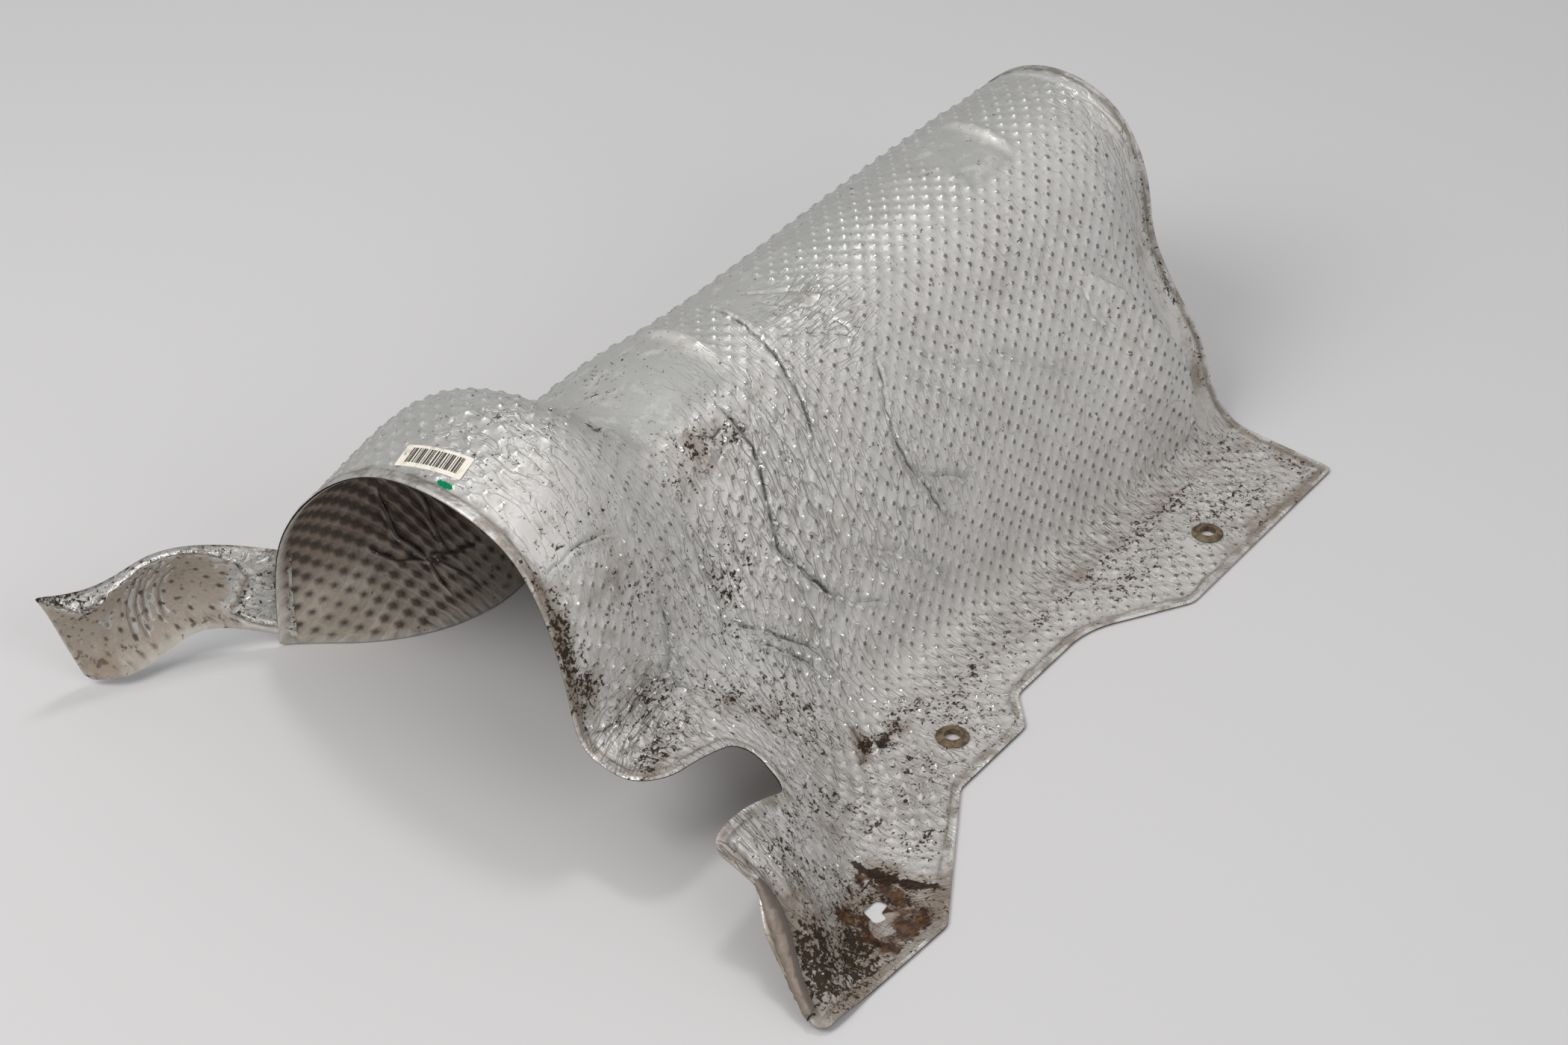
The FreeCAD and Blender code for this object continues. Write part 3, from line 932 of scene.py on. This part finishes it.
def outer_masks(points, edge):
    body = hem_body(points, edge)
    worn = np.hypot(*(points - worn_centre).T)
    height = sheet_surface(points[:, 0], points[:, 1])[0][:, 2]
    # Painted highlight along the rim's bead and on the ridges, which are made shinier too
    rim = 0.8 * hill(edge, 0.9, 0.8) * smooth_step(uneven(points, 16, 5.2), -0.15, 0.3)
    rim = np.maximum(rim, spots(points, RIDGES))
    pad = np.zeros(len(points))
    for *sides, shine in PADS:
        pad = np.maximum(pad, shine * smooth_step(-pad_gap(points, *sides), -PAD_FADE, -2))
    gloss = smooth_step(points[:, 1] + 16 * uneven(points, 40, 1.7), -58, -4)
    off, chance = nearest_pip(points)
    # Scattered pips at the front are made shiny, which also gives them painted glints
    spark = smooth_step(chance, 0.5, 0.7) * smooth_step(-points[:, 0], 0, 80) * pip_button(off)
    bold = np.clip(hills(points, BOLD), 0, 1)
    gloss = np.maximum(gloss, 0.9 * spark * (1 - bold))
    index, gap = nearest(crease_samples, points)
    gloss = np.maximum(gloss, np.clip(crease_depths[index] / 1.6, 0, 0.9) * hill(gap, 2.4, 1.6))
    return {
        "pad": pad,
        "rim": rim,
        "film": smooth_step(-height, -34, -4) * (0.75 + 0.5 * uneven(points, 30, 2.7)),
        "tip": pip_tips(points) * emboss_share(points) * body * (1 - 0.9 * bold),
        # Painted shade in the hollows between the bold pips
        "valley": bold * body * smooth_step(-quilt(points), -0.8, -0.35),
        "crease": creases(points)[1] * body * smooth_step(-points[:, 1], -130, -100),
        "gloss": gloss,
        "soil": spots(points, SOIL),
        "rust": np.maximum(spots(points, RUST), 1.0 * hill(worn, 13.5, 3.5)),
        "streak": spots(points, STREAKS),
        "brown": spots(points, BROWN),
        "wrinkle": spots(points, WRINKLES),
        "long_wrinkle": spots(points, LONG_WRINKLES),
        "scorch": hill(distance_to(scorch_line, points), 0, 6.0),
        "bare": smooth_step(-worn, -WORN_RADIUS - 0.5, -WORN_RADIUS + 1.5),
        "ink": smooth_step(-np.hypot(*((points - ink_centre) / np.array(INK_REACH)).T), -1.15, -0.9),
        "hem": 1 - body,
        "seam": hill(hem_gap(points, edge), HEM_WIDTH + 0.8, 1.0),
    }


def inner_masks(points, edge):
    height = sheet_surface(points[:, 0], points[:, 1])[0][:, 2]
    # pale is 1 near the floor and 0 high up: painted shade darkens the lining towards the top
    pale = smooth_step(-height, -66, -22)
    # Dots low down and bands higher up, painted shade of the quilted relief
    pits = 1.2 * pale * quilt(points) ** 1.5 + 1.25 * (1 - pale) * pit_bands(points)
    return {
        "pit": pits * emboss_share(points),
        "pale": pale,
        "crease": creases(points)[1],
        "hem": 1 - smooth_step(edge, 1.5, 4),
    }


def strap_back_masks(points, edge):
    return {"tip": pip_tips(points), "gloss": np.full(len(points), 0.6), "soil": np.full(len(points), 0.35),
            "hem": 1 - smooth_step(edge, 2.0, 5.0)}


def strap_front_masks(points, edge):
    gap = distance_to(scoop_rim, points)
    full = np.ones(len(points))
    off, chance = nearest_pip(points)
    along, across = (points / np.array((STRAP.length, STRAP.width))).T
    return {
        # Painted shade in the strap's dimples
        "pit": np.clip(1.5 - off / 1.9, 0, 1) * (0.5 + 0.5 * chance),
        "pale": 0.8 * full,
        "gloss": full,
        "soil": 0.5 + 0.5 * smooth_step(along, 0.7, 1.0),
        "brown": 0.3 + 0.9 * smooth_step(along - 0.3 * across, 0.55, 1.0),
        "crumple": full,
        # Painted shade along the scoop's folds
        "crease": 0.6 * hill(distance_to(fold_samples, points), 0, 1.0),
        "hem": 1 - smooth_step(edge, 1.5, 4.0),
        "seam": 0.8 * hill(gap, 0, 1.0),
        # Painted highlight along the crest beyond the scoop's rim
        "rim": hill(gap, 2.4, 1.2),
    }


def flap_masks(points, edge):
    # Darker tone over the whole flap, rising to painted shade in the gap at its free edge
    dark = np.maximum(smooth_step(points[:, 1] / FLAP.width, 0.72, 0.9), 0.48)
    ribs = 0.35 - 0.35 * rib_wave(points)
    full = np.ones(len(points))
    return {
        # Painted shade in the hollows between the ribs
        "pit": ribs * (1 - smooth_step(points[:, 1] / FLAP.width, 0.2, 0.5)),
        "pale": 0.2 * full,
        "crease": dark,
        "brown": 0.8 * full,
    }


# Mesh object from points in tunnel axes
def mesh_piece(name, points, faces, materials, sides, masks, flat):
    mesh = bpy.data.meshes.new(name)
    mesh.from_pydata(to_frame(points).tolist(), [], faces.tolist())
    for material in materials:
        mesh.materials.append(material)
    mesh.polygons.foreach_set("material_index", np.asarray(sides, np.int32))
    mesh.polygons.foreach_set("use_smooth", np.ones(len(faces), bool))
    for mask, values in masks.items():
        layer = mesh.attributes.new(mask, "FLOAT", "POINT")
        layer.data.foreach_set("value", np.ascontiguousarray(values, np.float32))
    unrolled = mesh.attributes.new("unrolled", "FLOAT_VECTOR", "POINT")
    level = np.column_stack((flat, np.zeros(len(flat)))).astype(np.float32)
    unrolled.data.foreach_set("vector", level.ravel())
    mesh.update()
    piece = bpy.data.objects.new(name, mesh)
    bpy.context.scene.collection.objects.link(piece)
    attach(piece, "root")
    return piece


# Short ways to add shader nodes
class Shader:
    def __init__(self, name, colour, rough, metal):
        self.material = bpy.data.materials.new(name)
        self.material.use_nodes = True
        self.tree = self.material.node_tree
        self.out = self.tree.nodes["Principled BSDF"]
        self.colour = colour
        self.out.inputs["Base Color"].default_value = (*colour, 1)
        self.out.inputs["Roughness"].default_value = rough
        self.out.inputs["Metallic"].default_value = metal

    def add(self, kind):
        return self.tree.nodes.new(kind)

    def feed(self, socket, value):
        if isinstance(value, bpy.types.NodeSocket):
            self.tree.links.new(value, socket)
        elif isinstance(value, tuple):
            socket.default_value = (*value, 1) if len(socket.default_value) == 4 else value
        else:
            socket.default_value = value

    def set(self, name, value):
        self.feed(self.out.inputs[name], value)

    def mask(self, name):
        node = self.add("ShaderNodeAttribute")
        node.attribute_name = name
        return node.outputs["Fac"]

    def place(self):
        return self.add("ShaderNodeTexCoord").outputs["Object"]

    # Places on the unrolled sheet, scaled along and across it
    def unrolled(self, along, across):
        node = self.add("ShaderNodeAttribute")
        node.attribute_name = "unrolled"
        scale = self.add("ShaderNodeMapping")
        scale.inputs["Scale"].default_value = (along, across, 1)
        self.feed(scale.inputs["Vector"], node.outputs["Vector"])
        return scale.outputs["Vector"]

    def noise(self, scale, detail=3.0, rough=0.5, warp=0.0, place=None):
        node = self.add("ShaderNodeTexNoise")
        self.feed(node.inputs["Vector"], place or self.place())
        node.inputs["Scale"].default_value = scale
        node.inputs["Detail"].default_value = detail
        node.inputs["Roughness"].default_value = rough
        node.inputs["Distortion"].default_value = warp
        return node.outputs["Fac"]

    def math(self, kind, a, b=0.0):
        node = self.add("ShaderNodeMath")
        node.operation = kind
        self.feed(node.inputs[0], a)
        self.feed(node.inputs[1], b)
        return node.outputs[0]

    def times(self, *values):
        product = values[0]
        for value in values[1:]:
            product = self.math("MULTIPLY", product, value)
        return product

    def plus(self, a, b):
        return self.math("ADD", a, b)

    def less(self, value):
        return self.math("SUBTRACT", 1.0, value)

    # Value spread from low..high to 0..top, with soft ends
    def spread(self, value, low, high, top=1.0):
        node = self.add("ShaderNodeMapRange")
        node.interpolation_type = "SMOOTHSTEP"
        self.feed(node.inputs["Value"], value)
        node.inputs["From Min"].default_value = low
        node.inputs["From Max"].default_value = high
        node.inputs["To Max"].default_value = top
        return node.outputs["Result"]

    # Thin wavy lines, where a noise passes its middle
    def veins(self, scale, width, place=None):
        middle = self.math("ABSOLUTE", self.math("SUBTRACT", self.noise(scale, 2, 0.5, 0.6, place), 0.5))
        return self.spread(middle, width, 0.0)

    def mix(self, part, a, b):
        node = self.add("ShaderNodeMix")
        node.data_type = "RGBA"
        self.feed(node.inputs["Factor"], part)
        self.feed(node.inputs[6], a)
        self.feed(node.inputs[7], b)
        return node.outputs[2]

    # Layer of a shade over the colours so far, as strong as the product of its parts
    def coat(self, shade, *parts):
        self.colour = self.mix(self.times(*parts), self.colour, shade)

    # Fine relief, on top of the relief given before it
    def bump(self, height, strength, distance, before=None):
        node = self.add("ShaderNodeBump")
        node.inputs["Strength"].default_value = strength
        node.inputs["Distance"].default_value = distance
        self.feed(node.inputs["Height"], height)
        if before is not None:
            self.feed(node.inputs["Normal"], before)
        self.set("Normal", node.outputs["Normal"])
        return node.outputs["Normal"]


# Brown-black grains of dirt, closer together where there is more soil
def grains(m, soil, coarse, fine):
    grain = m.plus(m.times(m.noise(coarse, 4, 0.6, 0.6), 0.55), m.times(m.noise(fine, 3, 0.6), 0.3))
    return m.plus(m.plus(grain, m.times(m.noise(60, 3), 0.15)), m.times(soil, 0.125))


CRINKLE_SHADE = (0.24, 0.22, 0.2)


def sheet_material():
    m = Shader("embossed_sheet", (0.56, 0.54, 0.52), 0.5, 0.3)
    gloss = m.mask("gloss")
    soil = m.mask("soil")
    pad = m.mask("pad")
    dull = m.less(m.times(gloss, 0.9))
    m.colour = m.mix(gloss, (0.57, 0.553, 0.535), (0.47, 0.468, 0.45))
    m.coat((0.34, 0.315, 0.29), m.mask("film"), 0.5)
    m.coat((0.36, 0.36, 0.345), pad)
    m.coat((0.42, 0.40, 0.375), m.spread(m.noise(26, 5, 0.6), 0.4, 0.68, 0.3))
    m.coat((0.66, 0.645, 0.63), m.spread(m.noise(90, 5, 0.65), 0.5, 0.7, 0.4))
    streak = m.times(m.mask("streak"), m.spread(m.noise(0.5, 4, 0.6, 0.3, m.unrolled(1.0, 0.05)), 0.42, 0.62))
    m.coat((0.24, 0.21, 0.185), streak, 0.7)
    vein = m.times(m.veins(1.0, 0.025, m.unrolled(0.09, 0.035)), dull)
    m.coat(CRINKLE_SHADE, vein, 0.3)
    folds = m.times(m.mask("wrinkle"), m.veins(1.0, 0.055, m.unrolled(0.17, 0.045)))
    folds = m.plus(folds, m.times(m.mask("long_wrinkle"), m.veins(1.0, 0.055, m.unrolled(0.045, 0.2))))
    m.coat(CRINKLE_SHADE, folds, 0.35)
    # Painted shade in the hollows between the bold pips, broken up by noise
    valley = m.times(m.mask("valley"), m.spread(m.noise(120, 3, 0.6), 0.25, 0.6))
    m.coat((0.2, 0.18, 0.16), valley, 0.65)
    # Pip tops: darkened as a painted reflection of dark surroundings away from the gloss, and lit with
    # painted glints on it
    tip = m.spread(m.mask("tip"), 0.2, 0.6)
    m.coat((0.14, 0.132, 0.124), tip, dull, 0.85)
    m.coat((0.92, 0.92, 0.90), tip, gloss, 0.9)
    brown = m.mask("brown")
    hem = m.spread(m.plus(m.noise(85, 4, 0.6), m.times(brown, 0.2)), 0.38, 0.62)
    m.coat((0.22, 0.185, 0.15), m.mask("hem"), hem, 0.8)
    seam = m.times(m.mask("seam"), m.spread(m.noise(45, 3), 0.3, 0.6))
    m.coat((0.13, 0.11, 0.09), seam, 0.85)
    # Painted highlight on the rim's bead and the ridges
    rim = m.mask("rim")
    m.coat((0.82, 0.80, 0.76), rim)
    bare = m.mask("bare")
    m.coat((0.42, 0.415, 0.40), bare)
    # Painted shade along the creases
    crease = m.times(m.spread(m.mask("crease"), 0.35, 0.95), m.spread(m.noise(110, 3, 0.6), 0.3, 0.58))
    m.coat((0.075, 0.065, 0.056), crease, 0.9)
    stain = m.spread(m.plus(m.noise(50, 5, 0.65), m.times(brown, 0.35)), 0.55, 0.95, 0.8)
    m.coat((0.2, 0.155, 0.117), stain)
    grain = m.times(grains(m, soil, 300, 680), m.less(m.times(bare, 0.3)))
    m.coat((0.15, 0.115, 0.086), m.spread(grain, 0.575, 0.64, 0.6))
    dirt = m.spread(grain, 0.615, 0.65)
    m.coat((0.034, 0.024, 0.017), dirt, 0.95)
    rust = m.spread(m.plus(m.noise(110, 5, 0.65), m.times(m.mask("rust"), 0.4)), 0.70, 0.86)
    shade = m.mix(m.spread(m.noise(190, 4, 0.6), 0.4, 0.62), (0.04, 0.023, 0.016), (0.105, 0.054, 0.029))
    m.coat(shade, rust, 0.92)
    scorch = m.spread(m.plus(m.noise(85, 5, 0.7, 0.5), m.times(m.mask("scorch"), 0.5)), 0.8, 0.9)
    m.coat((0.035, 0.022, 0.016), scorch, 0.95)
    ink = m.spread(m.plus(m.mask("ink"), m.times(m.noise(300, 3), 0.4)), 0.55, 0.75)
    m.coat((0.004, 0.19, 0.075), ink)
    m.set("Base Color", m.colour)
    grime = dirt
    for layer in (ink, rust, scorch, stain):
        grime = m.math("MAXIMUM", grime, layer)
    metal = m.plus(m.plus(0.3, m.times(gloss, m.less(pad), 0.35)), m.times(tip, 0.35))
    m.set("Metallic", m.times(m.math("MAXIMUM", metal, rim), m.less(grime)))
    rough = m.plus(m.math("SUBTRACT", 0.46, m.times(gloss, 0.08)), m.spread(m.noise(55, 4), 0.3, 0.75, 0.12))
    rough = m.math("SUBTRACT", m.plus(rough, m.times(pad, 0.1)), m.times(m.math("MAXIMUM", tip, rim), 0.22))
    m.set("Roughness", m.math("MAXIMUM", rough, m.times(grime, 0.85)))
    m.set("Specular IOR Level", m.times(m.less(grime), 0.5))
    crinkle = m.plus(m.noise(330, 4, 0.6), m.times(vein, -0.6))
    crinkle = m.plus(crinkle, m.plus(m.times(dirt, 0.6), m.times(streak, -1.0)))
    fine = m.bump(crinkle, 0.45, 0.0005)
    rucks = m.times(m.mask("crumple"), m.noise(130, 3, 0.55, 1.2))
    m.bump(m.plus(m.times(rucks, 2.0), m.times(folds, -1.0)), 0.85, 0.0018, fine)
    return m.material


def lining_material():
    m = Shader("sheet_lining", (0.4, 0.35, 0.3), 0.6, 0.3)
    pale = m.mask("pale")
    # Darker where pale is low: on the inside of the sheet that is painted shade up the walls
    m.colour = m.mix(pale, (0.27, 0.21, 0.168), (0.44, 0.385, 0.325))
    m.coat((0.27, 0.225, 0.175), m.spread(m.noise(24, 5, 0.6), 0.42, 0.7, 0.55))
    m.coat((0.68, 0.62, 0.55), m.spread(m.noise(70, 4, 0.6), 0.5, 0.7, 0.3))
    # Painted shade in the pits and between the rows of the quilted relief
    pit = m.spread(m.plus(m.mask("pit"), m.times(m.noise(90, 3), 0.3)), 0.42, 0.95)
    m.coat((0.065, 0.049, 0.038), pit, 0.9)
    m.coat((0.55, 0.525, 0.48), m.mask("hem"), 0.7)
    m.coat((0.12, 0.1, 0.08), m.mask("seam"), 0.8)
    # Painted highlight along the strap's crest
    rim = m.mask("rim")
    m.coat((0.8, 0.78, 0.74), rim)
    brown = m.times(m.mask("brown"), m.spread(m.noise(40, 4, 0.6), 0.35, 0.65))
    m.coat((0.26, 0.2, 0.14), brown, 0.7)
    # Painted shade along the creases and the scoop's folds; on the flap a darker tone with painted shade at
    # its free edge
    m.coat((0.06, 0.048, 0.04), m.spread(m.mask("crease"), 0.2, 0.8), 0.85)
    dirt = m.spread(grains(m, m.plus(0.15, m.times(m.mask("soil"), 0.5)), 190, 540), 0.62, 0.67)
    m.coat((0.07, 0.05, 0.038), dirt, 0.8)
    m.set("Base Color", m.colour)
    m.set("Metallic", m.math("MAXIMUM", m.times(m.less(dirt), 0.25), m.times(rim, 0.8)))
    m.set("Roughness", m.plus(0.48, m.spread(m.noise(60, 4), 0.35, 0.7, 0.2)))
    fine = m.bump(m.plus(m.noise(360, 3, 0.6), m.times(m.veins(80, 0.03), -0.6)), 0.4, 0.0004)
    m.bump(m.times(m.mask("pit"), -1.0), 0.8, 0.0015, fine)
    return m.material


def eyelet_material():
    m = Shader("eyelet_steel", (0.2, 0.15, 0.09), 0.55, 0.5)
    cloud = m.spread(m.noise(240, 4, 0.6), 0.35, 0.65)
    m.set("Base Color", m.mix(cloud, (0.075, 0.05, 0.03), (0.21, 0.16, 0.09)))
    m.set("Roughness", m.plus(0.42, m.times(cloud, 0.3)))
    m.bump(m.noise(700, 3, 0.6), 0.5, 0.0004)
    return m.material


def label_material():
    m = Shader("label_paper", (0.7, 0.66, 0.57), 0.6, 0.0)
    smudge = m.spread(m.noise(110, 5, 0.65), 0.5, 0.72)
    m.set("Base Color", m.mix(smudge, (0.74, 0.70, 0.62), (0.42, 0.37, 0.29)))
    m.bump(m.noise(900, 2, 0.5), 0.2, 0.0002)
    return m.material


def bar_material():
    m = Shader("label_print", (0.03, 0.026, 0.022), 0.55, 0.0)
    worn = m.spread(m.noise(500, 3, 0.6), 0.58, 0.7)
    m.set("Base Color", m.mix(worn, (0.028, 0.024, 0.02), (0.2, 0.17, 0.13)))
    return m.material


# Pieces on the frame
sheet_skin = sheet_material()
lining_skin = lining_material()


def skin_piece(name, shape, edge_line, rise_of, masks_of, place, side):
    points, faces = triangulate(*shape)
    edge = distance_to(edge_line, points)
    placed = place(points, rise_of(points, edge), edge)
    sides = side(points[faces].mean(axis=1))
    masks = masks_of(points, edge)
    piece = mesh_piece(name, placed, faces, (sheet_skin, lining_skin), sides, masks, points)
    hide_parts("shield_sheet")


def all_outer(centres):
    return np.zeros(len(centres), int)


def all_lining(centres):
    return np.ones(len(centres), int)


def strap_sides(centres):
    return np.where(inside_loop(strap_band, centres), 0, 1)


def patch_piece(name, patch, ring_rows, hem_rows, lines, rise_of, masks_of, side):
    shape = ([patch.loop], patch.points(ring_rows, hem_rows, lines))
    skin_piece(name, shape, patch.edge, rise_of, masks_of, lambda p, rise, edge: patch.place(p, rise), side)


rim_rows = [scoop_rim + d * left_of(scoop_rim) for d in (0, 1.1, -1.1, 2.4, -2.4, 3.6, -3.6)]
rim_rows += [fold + d * left_of(fold) for fold in scoop_folds for d in (0, 1.2, -1.2, 2.6, -2.6)]
rim_rows = np.concatenate(rim_rows)
skin_piece("outer_skin", sheet_points(OUTER_RINGS, OUTER_HEM_ROWS), SHEET_EDGE, outer_rise, outer_masks,
           sheet_place, all_outer)
skin_piece("inner_skin", sheet_points(INNER_RINGS, INNER_HEM_ROWS), SHEET_EDGE, inner_rise, inner_masks,
           sheet_place, all_lining)
patch_piece("strap_back", STRAP, OUTER_RINGS, STRAP_HEM_ROWS, None, strap_back_rise, strap_back_masks,
            all_outer)
patch_piece("strap_front", STRAP, INNER_RINGS, STRAP_HEM_ROWS, rim_rows, strap_front_rise, strap_front_masks,
            strap_sides)
patch_piece("flap_top", FLAP, INNER_RINGS, FLAP_HEM_ROWS, None, flap_top_rise, flap_masks, all_lining)
patch_piece("flap_under", FLAP, (), FLAP_HEM_ROWS, None, flap_under_rise, flap_masks, all_outer)


def dress(node, material):
    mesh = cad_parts[node].data
    mesh.materials.clear()
    mesh.materials.append(material)


eyelet_skin = eyelet_material()
dress("eyelet_rear", eyelet_skin)
dress("eyelet_middle", eyelet_skin)
dress("label", label_material())


# Printed bars on the label, of uneven width
BAR_REACH = 0.40 * LABEL_LENGTH
BAR_NEAR = -0.26 * LABEL_WIDTH
BAR_FAR = 0.42 * LABEL_WIDTH
PRINT_LIFT = 0.04


def bar_places():
    places = []
    at = -BAR_REACH
    k = 0
    while at < BAR_REACH:
        width = 0.42 + 0.36 * ((k * 7) % 3)
        places.append((at, at + width))
        at += width + 0.40 + 0.24 * ((k * 5) % 4)
        k += 1
    return places


def label_print():
    points = []
    faces = []
    for low, high in bar_places():
        start = len(points)
        for a in np.linspace(BAR_NEAR, BAR_FAR, 6):
            points += [(a, low), (a, high)]
        faces += [(start + 2 * k, start + 2 * k + 1, start + 2 * k + 3, start + 2 * k + 2) for k in range(5)]
    flat = on_sheet(label_plan(points))
    base, normal = sheet_surface(flat[:, 0], flat[:, 1])
    placed = base + (LABEL_TOP + PRINT_LIFT) * normal
    sides = np.zeros(len(faces))
    piece = mesh_piece("label_bars", placed, np.array(faces), (bar_material(),), sides, {}, flat)


label_print()


# Stage: pale floor, soft light and the camera
CAMERA_PLACE = (-1.05496, -0.90316, 1.06157)
CAMERA_TARGET = (0.05917, 0.04213, 0.00007)
CAMERA_LENS = 72.0


def aim(thing, target):
    way = Vector(target) - thing.location
    thing.rotation_euler = way.to_track_quat("-Z", "Y").to_euler()


def add_floor():
    bpy.ops.mesh.primitive_plane_add(size=12)
    floor = bpy.context.object
    floor.name = "floor"
    m = Shader("floor_paper", (0.57, 0.562, 0.562), 0.75, 0.0)
    floor.data.materials.append(m.material)


def add_lamp(name, place, target, size, power, colour):
    data = bpy.data.lights.new(name, "AREA")
    data.shape = "RECTANGLE"
    data.size, data.size_y = size
    data.energy = power
    data.color = colour
    lamp = bpy.data.objects.new(name, data)
    lamp.location = place
    bpy.context.scene.collection.objects.link(lamp)
    aim(lamp, target)


def add_camera():
    data = bpy.data.cameras.new("camera")
    data.lens = CAMERA_LENS
    data.sensor_width = 36.0
    camera = bpy.data.objects.new("camera", data)
    camera.location = CAMERA_PLACE
    bpy.context.scene.collection.objects.link(camera)
    aim(camera, CAMERA_TARGET)
    bpy.context.scene.camera = camera


def set_world():
    world = bpy.data.worlds.new("studio")
    world.use_nodes = True
    background = world.node_tree.nodes["Background"]
    background.inputs["Color"].default_value = (0.98, 0.99, 1.0, 1)
    background.inputs["Strength"].default_value = 0.5
    bpy.context.scene.world = world


add_floor()
add_lamp("window", (-1.6, 0.5, 1.9), (0, 0, 0.05), (1.3, 1.3), 32, (1.0, 0.985, 0.97))
add_lamp("fill", (-0.4, -2.2, 1.5), (0, 0, 0.05), (1.4, 1.0), 14, (1.0, 1.0, 1.0))
add_lamp("spark", (0.35, 0.35, 1.9), (0, 0, 0.1), (0.3, 0.3), 7, (1.0, 1.0, 1.0))
set_world()
add_camera()
bpy.context.scene.view_settings.view_transform = "Standard"
